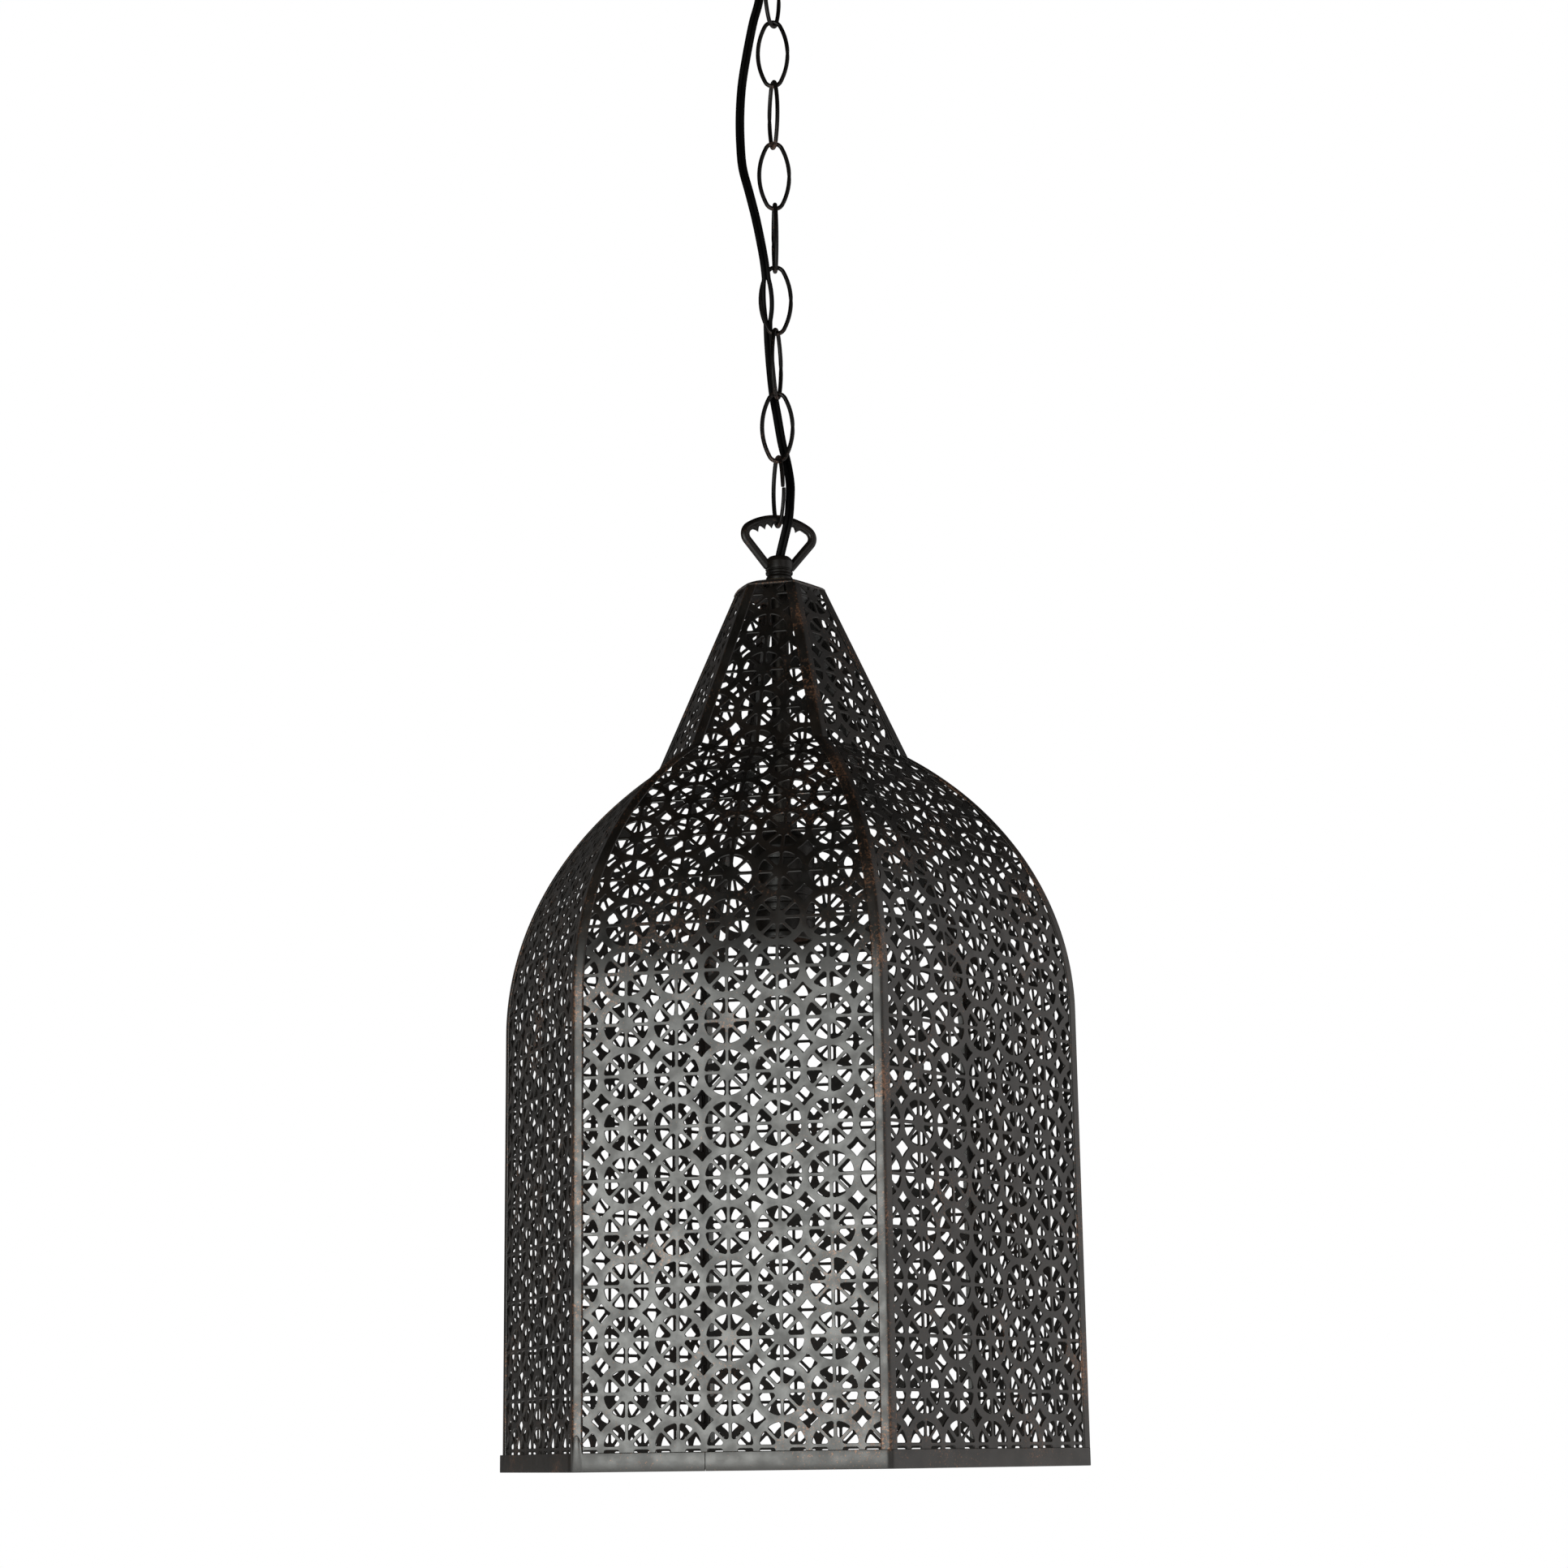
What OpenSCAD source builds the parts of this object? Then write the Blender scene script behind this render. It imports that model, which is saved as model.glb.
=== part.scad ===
// Hanging lantern: a six-sided cage of pierced sheet iron under a chain, a ceiling canopy and a lamp cord.
// Millimetres, +Z up. The origin is the middle of the bracket's top face, which lies against the ceiling,
// and everything hangs below it. The chain is drawn at rest, straight down.

/* [Lantern body] */
// Width across the flat sides at the bottom
body_af = 267; // [240:1:290]
// Height of the straight part of the sides
straight_h = 231; // [200:1:250]
// Radius of the curved shoulder, seen from the side
dome_r = 170.5; // [165:0.5:180]
// Height of the fold between the shoulder and the neck
fold_z = 371.5; // [360:0.5:380]
// Width across the flat sides at the top of the neck
neck_top_af = 43.3; // [40:0.1:50]
// Height of the top edge of the neck
neck_top_z = 468; // [455:1:480]
// Thickness of the pierced sheets
sheet_t = 0.8; // [0.6:0.1:1.2]

/* [Strips and caps] */
// Width of a corner strip on each side of its corner
rib_w = 4.7; // [3:0.1:7]
// Thickness of a corner strip
rib_t = 0.8; // [0.6:0.1:1.5]
// Height of the bottom band
band_h = 9; // [7:0.5:14]
// Thickness of the bottom band
band_t = 1.2; // [1:0.1:2]
// Width of the open seam in the bottom band
seam_gap = 0.4; // [0.2:0.1:1]
// Place of that seam, sideways from the middle of the front side
seam_x = -12; // [-40:1:40]
// Thickness of the top plate
cap_t = 1.2; // [1:0.1:2]
// Rise of the top plate's flat middle above its edge
cap_rise = 4.5; // [1:0.5:6]

/* [Hanger loop] */
// Thickness of the cast bar
bar_d = 4; // [3.5:0.1:4.5]
// Half of the distance between the centres of the two shoulders
shoulder_x = 14.5; // [13:0.5:16]
// Centreline radius of a shoulder
shoulder_r = 5; // [4.5:0.5:6]
// Radius of the turned collar
collar_r = 7.6; // [7:0.1:9]
// Height of the turned collar
collar_h = 14.5; // [14:0.5:16]

/* [Chain] */
// Number of chain links
links = 9; // [9:1:9]
// Wire thickness of a link
wire_d = 2.1; // [1.8:0.1:2.4]
// Outer length of a link
link_l = 42; // [42:0.5:42]
// Outer width of a link
link_w = 19.4; // [19:0.2:21]
// Centreline radius of a link's narrow ends
link_end_r = 5; // [4.6:0.1:5.4]
// Free play between pieces that hang on each other
play = 0.3; // [0.3:0.05:0.4]

/* [Ceiling fitting] */
// Radius of the canopy
canopy_r = 60; // [55:1:70]
// Depth of the canopy
canopy_h = 38; // [36:1:42]
// Distance between the bracket's two slots
slot_spacing = 88.9; // [80:0.1:96]
// Width of a slot
slot_w = 5; // [4.5:0.1:6]
// Length of a slot, end to end
slot_l = 12; // [9:0.5:14]
// Thickness of the hook eye's bar
eye_d = 5; // [4.5:0.1:5.5]
// Centreline radius of the hook eye
eye_r = 11.5; // [10:0.5:13]

/* [Lampholder and stem] */
// Outer radius of the threaded stem
stem_r = 4.8; // [4.5:0.1:5]
// Radius of the passage through the stem
stem_bore_r = 3.6; // [3.4:0.1:3.8]
// Outer radius of the lampholder
holder_r = 17; // [16.5:0.5:20]
// Inner radius of the lamp screw shell
shell_r = 13.1; // [13:0.05:13.3]
// Height of the lampholder's lower edge above the lantern's lower edge
holder_z = 275; // [265:1:280]

/* [Lamp cord] */
// Width of the flat two-core cord
cord_w = 5.2; // [5:0.1:5.6]
// Thickness of the flat two-core cord
cord_t = 2.6; // [2.4:0.1:2.8]

/* [Hidden] */
// Height of the ceiling above the lantern's lower edge
drop = 912;
// Direction in which each link's flat side runs, from the lowest link to the highest, in degrees about Z
LINK_TURN = [120, 12, 86, 14, 108, 16, 118, 8, 75];
// Direction of the hanger loop's and the hook eye's flat side
loop_turn = 30;
eye_turn = 165;
face_turn = 90;
link_pitch = link_l - 2*wire_d - play;
eye_bar_z = -68.6;
first_link_z = eye_bar_z + (eye_d + wire_d)/2 + play - (link_l - wire_d)/2;
last_bend_z = first_link_z - (links - 1)*link_pitch - (link_l - wire_d)/2;
loop_bar_z = last_bend_z + (wire_d + bar_d)/2 + play;
face_a = body_af/2;
neck_a = neck_top_af/2;
fold_a = face_a - dome_r + sqrt(dome_r*dome_r - (fold_z - straight_h)*(fold_z - straight_h));
neck_slope = (fold_a - neck_a)/(neck_top_z - fold_z);
neck_tilt = atan(neck_slope);
washer_t = 1.2;
washer_r = 10;
// How far the outlines of the shoulder and the neck run past the fold between them, and the sheets past the
// ends of a side, before they are cut to size
past = 6;
reach = 200;
// Half of the width across the top plate's flat middle
cap_flat = 11;
collar_z = neck_top_z + cap_rise + cap_t + washer_t;
fit = 0.05;
socket_top = holder_z + 64;
cap_low = holder_z + 43;
base_z = holder_z + 31;
thread_z = holder_z + 5;
thread_h = 22;
shell_t = 0.5;
liner_r = 14.5;
stem_low = holder_z + 56;
// Thickness of the canopy, and the radius of its round edge
canopy_t = 1.2;
canopy_round = 30;
// Width, length and thickness of the ceiling bracket
bracket = [20, 110, 2];
// Radius of the hook eye's threaded shank
shank_r = 4;
// Place of the cord's grommet in the canopy, from its middle, and the radius of its hole
grommet = [-17, -10];
grommet_hole_r = 5;
// Low corner and size of the terminal block
terminal_low = [-14, 16, -14];
terminal_size = [20, 18, 12];
// Pieces round a full turn
seg = 96;

// Route of the cord, from the grommet in the canopy to the hanger's collar: x, y and the height above the
// lantern's lower edge. It hangs beside the upper links, passes through one link and ends in the collar.
ROUTE = [
    [-17, -10, 880], [-17, -10, 871], [-15.2, -8.6, 861], [-10.4, -5.8, 849], [-7.6, -4, 837],
    [-6.8, -3, 824], [-11, -2, 809], [-15, -2, 789], [-18, -1.5, 771], [-19, -2.5, 752], [-18.5, -4, 734],
    [-17, -5.5, 719], [-13, -7, 703], [-9.5, -7.5, 688], [-6.5, -7.5, 672], [-4.5, -7.5, 659],
    [-4, -5, 648], [-4.4, -0.5, 636], [-5.5, 4, 623], [-5, 6, 605], [-3.5, 6.5, 587], [-1.5, 6.5, 574],
    [1, 6.5, 558], [4, 5.5, 545], [6.3, 2.5, 532], [7, -2.2, 520], [6.4, -4.2, 509], [3.4, -3, 498],
    [0.8, -0.7, 490], [0, 0, 483], [0, 0, 475]
];
// Route inside the canopy, from the grommet to the mouth of the terminal block
TOP_ROUTE = [
    [-17, -10, -41], [-17, -10, -35], [-16.8, -9.5, -30], [-15.8, -7, -24.5], [-14, -3, -18.5],
    [-11.5, 1.8, -13.5], [-8.4, 6.5, -10.3], [-5.4, 10.5, -8.6], [-4, 13.8, -8], [-4, 15.9, -8]
];
// The middle of link k, above the lantern's lower edge: the cord's route is handed on from link to link there
function mid_h(k) = drop + first_link_z - (links - k)*link_pitch;

// ---------- helpers ----------
module at_lantern() translate([0, 0, -drop]) children();

module cylinder_between(r, low, high) translate([0, 0, low]) cylinder(r = r, h = high - low, $fn = seg);

module tube(r, bore, h, z = 0) translate([0, 0, z]) difference() {
    cylinder(r = r, h = h, $fn = seg);
    translate([0, 0, -1]) cylinder(r = bore, h = h + 2, $fn = seg);
}

module hex_nut(af, bore, h, z) translate([0, 0, z]) difference() {
    cylinder(r = af/2/cos(30), h = h, $fn = 6);
    translate([0, 0, -1]) cylinder(r = bore, h = h + 2, $fn = seg);
}

// A round bar bent to an arc in the XZ plane: centre [x, z], centreline radius, first angle, swept angle
module arc_bar(centre, r, from, sweep, d) translate([centre[0], 0, centre[1]]) rotate([90, 0, 0])
    rotate([0, 0, from]) rotate_extrude(angle = sweep, $fn = seg) translate([r, 0]) circle(d = d, $fn = 32);

// A forged joint where two stretches of bar meet: it swallows both of their ends
module knuckle(at, d) translate([at[0], 0, at[1]]) sphere(d = d + 0.3, $fn = 48);

// A straight round bar in the XZ plane from [x, z] to [x, z]
module rod(a, b, d) {
    run = b - a;
    translate([a[0], 0, a[1]]) rotate([0, 90 - atan2(run[1], run[0]), 0])
        cylinder(d = d, h = norm(run), $fn = 32);
}

// ---------- lantern body ----------
// Everything inside the surface that lies off from the sheet's outer face, in the plane of a side's middle:
// X is the distance from the axis and Y the height
module side_profile(off, low, high) {
    lift = off/cos(neck_tilt);
    intersection() {
        union() {
            translate([0, low]) square([face_a + off, straight_h - low]);
            intersection() {
                translate([face_a - dome_r, straight_h]) circle(r = dome_r + off, $fn = 180);
                translate([0, straight_h]) square([reach, fold_z - straight_h + past]);
            }
            polygon([
                [0, fold_z - past], [fold_a + lift + past*neck_slope, fold_z - past],
                [neck_a + lift - past*neck_slope, neck_top_z + past], [0, neck_top_z + past]
            ]);
        }
        translate([0, low]) square([reach, high - low]);
    }
}

// A sheet that follows one side, from off_in to off_out, as wide as two sides
module side_sheet(off_in, off_out, low, high) rotate([90, 0, 0])
    linear_extrude(reach, center = true) difference() {
        side_profile(off_out, low, high);
        translate([0, -1]) side_profile_inner(off_in, low, high);
    }

// The same region made a little taller, so that it cuts cleanly at both ends
module side_profile_inner(off, low, high) translate([0, 1]) side_profile(off, low - 2, high + 2);

module panel(k) color([0.24, 0.2, 0.18]) at_lantern() rotate([0, 0, face_turn + 60*k]) intersection() {
    side_sheet(-sheet_t, 0, 0.4, neck_top_z);
    linear_extrude(neck_top_z + past)
        polygon([[0, 0], [reach, reach*tan(30) - fit], [reach, fit - reach*tan(30)]]);
}

module rib_half() intersection() {
    rotate([0, 0, -30]) side_sheet(0.01, rib_t, band_h, neck_top_z);
    linear_extrude(neck_top_z + past) polygon([
        [0, 0], [reach, 0], [reach, -rib_w*cos(30)], [0, -rib_w*cos(30)]
    ]);
}

module rib(k) color([0.33, 0.25, 0.2]) at_lantern() rotate([0, 0, face_turn + 30 + 60*k]) {
    rib_half();
    mirror([0, 1, 0]) rib_half();
}

module hexagon(a) circle(r = a/cos(30), $fn = 6);

module bottom_band() color([0.3, 0.26, 0.22]) at_lantern() linear_extrude(band_h) difference() {
    hexagon(face_a + band_t);
    hexagon(face_a + 0.02);
    translate([seam_x - seam_gap/2, -face_a - 5]) square([seam_gap, 10]);
}

// A six-sided block that narrows to the size of the top plate's flat middle
module cap_cone(a, low, high) translate([0, 0, low])
    cylinder(r1 = a/cos(30), r2 = cap_flat/cos(30), h = high - low, $fn = 6);

module top_plate() color([0.22, 0.19, 0.17]) at_lantern() translate([0, 0, neck_top_z]) difference() {
    union() {
        linear_extrude(cap_t) hexagon(neck_a + rib_t);
        cap_cone(neck_a + rib_t, cap_t, cap_t + cap_rise);
    }
    cap_cone(neck_a - 1, -0.5, cap_rise);
    cylinder_between(stem_r + 0.2, -1, cap_rise + cap_t + 1);
}

module brass_washer() color([0.62, 0.55, 0.4]) at_lantern()
    tube(washer_r, stem_r + 0.2, washer_t, collar_z - washer_t);

// ---------- hanger loop ----------
// Heights here are measured from the middle of the loop's top bar
shoulder_z = -9.2;
top_arc_r = (shoulder_x*shoulder_x + shoulder_z*shoulder_z - shoulder_r*shoulder_r)
    /(2*(-shoulder_z - shoulder_r));
top_sweep = atan2(shoulder_x, top_arc_r + shoulder_z);
leg_foot = [6, collar_z - drop - loop_bar_z + 9];
foot_run = [shoulder_x, shoulder_z] - leg_foot;
foot_turn = atan2(foot_run[1], foot_run[0]) - asin(shoulder_r/norm(foot_run));
leg_top = leg_foot + sqrt(foot_run*foot_run - shoulder_r*shoulder_r)*[cos(foot_turn), sin(foot_turn)];
shoulder_from = foot_turn - 90;
// Half of the gap between two stretches of bar inside their forged joint, as an angle
joint_gap = 0.1;
CUSPS = [-14, -9.4, -4.8, 6.6, 11.2];

module half_bail() {
    arc_bar([shoulder_x, shoulder_z], shoulder_r, shoulder_from + 0.3,
        89.4 - top_sweep - shoulder_from, bar_d);
    rod(leg_foot, leg_top - 0.03*unit(leg_top - leg_foot), bar_d);
    knuckle(leg_top, bar_d);
    knuckle(top_arc_r*[sin(top_sweep), cos(top_sweep)] - [0, top_arc_r], bar_d);
}

module cusp(x) {
    drop_z = sqrt(top_arc_r*top_arc_r - x*x) - top_arc_r;
    translate([x, 0, drop_z - bar_d/2 - 2]) cylinder(r1 = 0.25, r2 = 1.3, h = 2.8, $fn = 24);
}

module hanger_loop() color([0.3, 0.26, 0.21]) {
    translate([0, 0, loop_bar_z]) rotate([0, 0, loop_turn]) {
        arc_bar([0, -top_arc_r], top_arc_r, 90 - top_sweep + joint_gap, 2*(top_sweep - joint_gap), bar_d);
        half_bail();
        mirror([1, 0, 0]) half_bail();
        for (x = CUSPS) cusp(x);
    }
    at_lantern() difference() {
        union() {
            cylinder_between(collar_r, collar_z + 6, collar_z + collar_h - 3);
            cylinder_between(collar_r - 0.8, collar_z + 4.4, collar_z + 6);
            cylinder_between(collar_r - 0.1, collar_z, collar_z + 4.4);
            translate([0, 0, collar_z + collar_h - 3]) cylinder(r1 = collar_r, r2 = 5.4, h = 3, $fn = seg);
        }
        cylinder_between(stem_r + fit, collar_z - 1, collar_z + 10);
        cylinder_between(4.2, collar_z + 9, collar_z + collar_h + 1);
    }
}

// ---------- stem and lampholder ----------
module stem_tube() color([0.5, 0.46, 0.4]) at_lantern()
    tube(stem_r, stem_bore_r, collar_z + 9.5 - stem_low, stem_low);

module lock_washer() color([0.55, 0.52, 0.48]) at_lantern() translate([0, 0, neck_top_z + cap_rise - 0.8])
    linear_extrude(0.8) difference() {
        union() {
            circle(r = 8, $fn = seg);
            for (a = [0:30:330]) rotate([0, 0, a]) translate([7, -0.8]) square([2.2, 1.6]);
        }
        circle(r = stem_r + 0.2, $fn = seg);
    }

module stem_nut() color([0.5, 0.46, 0.4]) at_lantern()
    hex_nut(14, stem_r + fit, 5, neck_top_z + cap_rise - 5.8);

module holder_nut() color([0.5, 0.46, 0.4]) at_lantern() hex_nut(14, stem_r + fit, 3.5, socket_top);

module holder_cap() color([0.1, 0.1, 0.1]) at_lantern() rotate_extrude($fn = seg) difference() {
    union() {
        translate([0, cap_low]) square([holder_r, 6]);
        intersection() {
            translate([holder_r - 12, cap_low + 6]) circle(r = 12, $fn = seg);
            translate([0, cap_low + 6]) square([holder_r, 12]);
        }
        translate([0, cap_low + 6]) square([holder_r - 12, 12]);
        translate([0, cap_low + 10]) square([8, socket_top - cap_low - 10]);
    }
    translate([-1, cap_low - 1]) square([holder_r - 1, 7]);
    intersection() {
        translate([holder_r - 12, cap_low + 6]) circle(r = 10, $fn = seg);
        translate([0, cap_low + 5]) square([holder_r, 11]);
    }
    translate([-1, cap_low - 1]) square([holder_r - 11, 17]);
    translate([-1, cap_low]) square([stem_r + fit + 1, 40]);
}

module holder_body() color([0.1, 0.1, 0.1]) at_lantern() difference() {
    union() {
        cylinder_between(holder_r, holder_z + 2, cap_low);
        cylinder_between(holder_r + 1, holder_z, holder_z + 3);
    }
    cylinder_between(liner_r + 2*fit, holder_z - 1, cap_low + 1);
}

module holder_base() color([0.85, 0.82, 0.75]) at_lantern() difference() {
    cylinder_between(liner_r, base_z, base_z + 8);
    for (x = [-9, 9]) translate([x, 0, base_z + 4]) cylinder(r = 1.6, h = 5, $fn = 32);
}

module screw_shell() color([0.75, 0.6, 0.3]) at_lantern() {
    tube(shell_r + shell_t, shell_r, thread_h, thread_z);
    tube(shell_r + shell_t, 8, 0.8, thread_z + thread_h);
}

module shell_liner() color([0.8, 0.72, 0.55]) at_lantern() tube(liner_r, 13.9, 28, holder_z + 2);

module centre_contact() color([0.75, 0.6, 0.3]) at_lantern() {
    translate([0, 0, base_z - 1.8]) cylinder(r = 2.4, h = 1.8, $fn = 32);
    translate([0, 0, base_z - 3.2]) cylinder(r1 = 1.4, r2 = 2.4, h = 1.4, $fn = 32);
}

module contact_screws() color([0.75, 0.62, 0.35]) at_lantern() for (x = [-9, 9])
    translate([x, 0, base_z + 4.1]) {
        cylinder(r = 1.4, h = 4.1, $fn = 32);
        translate([0, 0, 4]) cylinder(r = 2.8, h = 1.6, $fn = 32);
    }

// The two cores, from the end of the cord to the tops of the contact screws
module core_leads() color([0.15, 0.15, 0.15]) at_lantern() for (side = [-1, 1])
    translate([side*1.5, 0, base_z + 15]) rotate([0, side*127, 0])
        cylinder(r = 0.9, h = 7.6, $fn = 24);

// ---------- chain ----------
// An oval of four arcs: two narrow ends and two long sides that meet them smoothly
half_l = (link_l - wire_d)/2;
half_w = (link_w - wire_d)/2;
end_z = half_l - link_end_r;
side_r = (half_w*half_w + end_z*end_z - link_end_r*link_end_r)/(2*(half_w - link_end_r));
side_a = asin(end_z/(side_r - link_end_r));

link_joint = link_end_r*[cos(side_a), sin(side_a)] + [0, end_z];

module oval_link() for (s = [0, 180]) rotate([0, s, 0]) {
    arc_bar([0, end_z], link_end_r, side_a + 5*joint_gap, 180 - 2*side_a - 10*joint_gap, wire_d);
    arc_bar([half_w - side_r, 0], side_r, joint_gap - side_a, 2*(side_a - joint_gap), wire_d);
    knuckle(link_joint, wire_d);
    knuckle([-link_joint[0], link_joint[1]], wire_d);
}

module link(k) color([0.2, 0.17, 0.15]) translate([0, 0, first_link_z - (links - k)*link_pitch])
    rotate([0, 0, LINK_TURN[k - 1]]) difference() {
        oval_link();
        // the lowest link opens: its wire is cut across, half-way up one side
        if (k == 1) translate([-half_w, 0, 2]) cube([wire_d + 2, wire_d + 2, 0.6], center = true);
    }

// ---------- ceiling fitting ----------
module bowl_profile(r, round_r, h) {
    translate([0, -h + round_r]) square([r, h - round_r]);
    translate([0, -h]) square([r - round_r, h]);
    translate([r - round_r, -h + round_r]) circle(r = round_r, $fn = seg);
}

module ceiling_canopy() color([0.24, 0.2, 0.17]) difference() {
    rotate_extrude($fn = 128) intersection() {
        difference() {
            bowl_profile(canopy_r, canopy_round, canopy_h);
            translate([-1, canopy_t]) bowl_profile(canopy_r + 1 - canopy_t, canopy_round - canopy_t, canopy_h);
        }
        translate([0, -canopy_h]) square([canopy_r, canopy_h]);
    }
    translate([0, 0, -canopy_h - 1]) cylinder(r = shank_r + 0.3, h = 4, $fn = seg);
    translate([grommet[0], grommet[1], -canopy_h - 1]) cylinder(r = grommet_hole_r, h = 4, $fn = seg);
}

module slot() {
    square([slot_l - slot_w, slot_w], center = true);
    for (s = [-1, 1]) translate([s*(slot_l - slot_w)/2, 0]) circle(d = slot_w, $fn = 48);
}

module mounting_bracket() color([0.7, 0.7, 0.7]) translate([0, 0, -bracket[2]])
    linear_extrude(bracket[2]) difference() {
        square([bracket[0], bracket[1]], center = true);
        for (s = [-1, 1]) translate([0, s*slot_spacing/2]) rotate(90) slot();
        circle(r = shank_r + fit, $fn = seg);
    }

module bracket_nut() color([0.7, 0.7, 0.7]) hex_nut(13, shank_r + fit, 5, -bracket[2] - 5.1);

module canopy_nut() color([0.26, 0.22, 0.18]) difference() {
    union() {
        cylinder_between(11, -canopy_h - 3, -canopy_h);
        cylinder_between(8, -canopy_h - 4.8, -canopy_h - 2);
    }
    cylinder_between(shank_r + fit, -canopy_h - 6, -canopy_h + 1);
}

module hook_eye() color([0.26, 0.22, 0.18]) {
    translate([0, 0, eye_bar_z + eye_r]) rotate([90, 0, eye_turn])
        rotate_extrude($fn = seg) translate([eye_r, 0]) circle(d = eye_d, $fn = 48);
    cylinder_between(shank_r, eye_bar_z + 2*eye_r + 0.5, -0.2);
}

module cord_grommet() color([0.08, 0.08, 0.08]) translate([grommet[0], grommet[1], 0]) difference() {
    union() {
        cylinder_between(grommet_hole_r - 0.1, -canopy_h - 1.2, -canopy_h + 2.8);
        cylinder_between(7, -canopy_h - 2.2, -canopy_h - 0.1);
        cylinder_between(6.4, -canopy_h + 1.4, -canopy_h + 3.2);
    }
    cylinder_between(3.2, -canopy_h - 4, -canopy_h + 5);
}

// The middle of each pole of the terminal block, sideways and along the cord
POLE_X = [-8, 0];
POLE_Y = [19, 31];

module terminal_block() color([0.88, 0.86, 0.8]) difference() {
    translate(terminal_low) cube(terminal_size);
    for (x = POLE_X) translate([x, 15, -8]) rotate([-90, 0, 0]) cylinder(r = 1.8, h = 20, $fn = 32);
    for (x = POLE_X, y = POLE_Y) translate([x, y, -15]) cylinder(r = 1.7, h = 6, $fn = 32);
}

module terminal_screws() color([0.75, 0.62, 0.35]) for (x = POLE_X, y = POLE_Y)
    translate([x, y, -13.5]) cylinder(r = 1.6, h = 3.5, $fn = 32);

// ---------- cord ----------
// The cord's smooth line: Catmull-Rom curves through the route's points
function spline(p, t) = 0.5*((2*p[1]) + (p[2] - p[0])*t + (2*p[0] - 5*p[1] + 4*p[2] - p[3])*t*t
    + (3*p[1] - p[0] - 3*p[2] + p[3])*t*t*t);
function route_at(i) = ROUTE[max(0, min(len(ROUTE) - 1, i))];
function route_point(u) = let (i = min(floor(u), len(ROUTE) - 2))
    spline([route_at(i - 1), route_at(i), route_at(i + 1), route_at(i + 2)], u - i);
// The place along the route, counted in points, where the cord passes a height
function route_u(h, lo = 0, hi = len(ROUTE) - 1, n = 24) = n == 0 ? (lo + hi)/2
    : let (m = (lo + hi)/2) route_point(m)[2] > h ? route_u(h, m, hi, n - 1) : route_u(h, lo, m, n - 1);

function unit(v) = v/norm(v);
// The cord's flat cross-section: two round cores side by side, as eight corners
SECTION = [for (c = [[0.5, 0.3], [0.3, 0.5], [-0.3, 0.5], [-0.5, 0.3], [-0.5, -0.3], [-0.3, -0.5],
    [0.3, -0.5], [0.5, -0.3]]) [c[0]*cord_w, c[1]*cord_t]];
// The direction of its broad side, which faces forward
broad = [cos(12), sin(12), 0];
function ring(p, along) = let (w = unit(broad - (broad*along)*along), n = cross(along, w))
    [for (c = SECTION) p + c[0]*w + c[1]*n];
function line_dir(line, i) = unit(line[min(i + 1, len(line) - 1)] - line[max(i - 1, 0)]);
function route_dir(u) = unit(route_point(u + 0.01) - route_point(u - 0.01));

// A closed tube through rings of points
module swept(rings) {
    n = len(rings);
    m = len(SECTION);
    sides = [for (i = [0:n - 2], j = [0:m - 1]) each [
        [i*m + j, i*m + (j + 1)%m, (i + 1)*m + (j + 1)%m],
        [i*m + j, (i + 1)*m + (j + 1)%m, (i + 1)*m + j]
    ]];
    polyhedron([for (r = rings) each r], [[for (j = [0:m - 1]) m - 1 - j], each sides,
        [for (j = [0:m - 1]) (n - 1)*m + j]]);
}

// The cord between two heights above the lantern's lower edge, a hair short at its lower end
module cord_piece(high, low, count) color([0.05, 0.05, 0.05]) at_lantern() {
    u0 = route_u(high);
    u1 = route_u(low + 0.05);
    swept([for (i = [0:count - 1]) let (u = u0 + (u1 - u0)*i/(count - 1)) ring(route_point(u), route_dir(u))]);
}

cord_enters = 483;
// Piece k runs from the middle of link k + 1 to the middle of link k; cord_0 ends inside the collar
module cord_link(k) cord_piece(k == links ? drop - canopy_h - 3.3 : mid_h(k + 1),
    k == 0 ? cord_enters + 0.2 : mid_h(k), 6);

module cord_top() color([0.05, 0.05, 0.05])
    swept([for (i = [len(TOP_ROUTE) - 1:-1:0]) ring(TOP_ROUTE[i], -line_dir(TOP_ROUTE, i))]);

module cord_stem() color([0.05, 0.05, 0.05]) at_lantern()
    swept([for (i = [0:10]) ring([0, 0, cord_enters - (cord_enters - base_z - 16)*i/10], [0, 0, -1])]);

mounting_bracket();
ceiling_canopy();
hook_eye();
canopy_nut();
bracket_nut();
cord_grommet();
terminal_block();
terminal_screws();
for (k = [1:9]) link(k);
hanger_loop();
brass_washer();
top_plate();
stem_tube();
lock_washer();
stem_nut();
holder_nut();
for (k = [1:6]) panel(k);
for (k = [1:6]) rib(k);
bottom_band();
holder_cap();
holder_body();
holder_base();
screw_shell();
shell_liner();
centre_contact();
contact_screws();
core_leads();
cord_top();
for (k = [0:9]) cord_link(k);
cord_stem();
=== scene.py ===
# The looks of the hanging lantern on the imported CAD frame: metres, +Z up, the ceiling at z = 0

import math

import bmesh
import bpy
import numpy as np
from mathutils import Matrix, Vector
from mathutils.geometry import delaunay_2d_cdt


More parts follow.
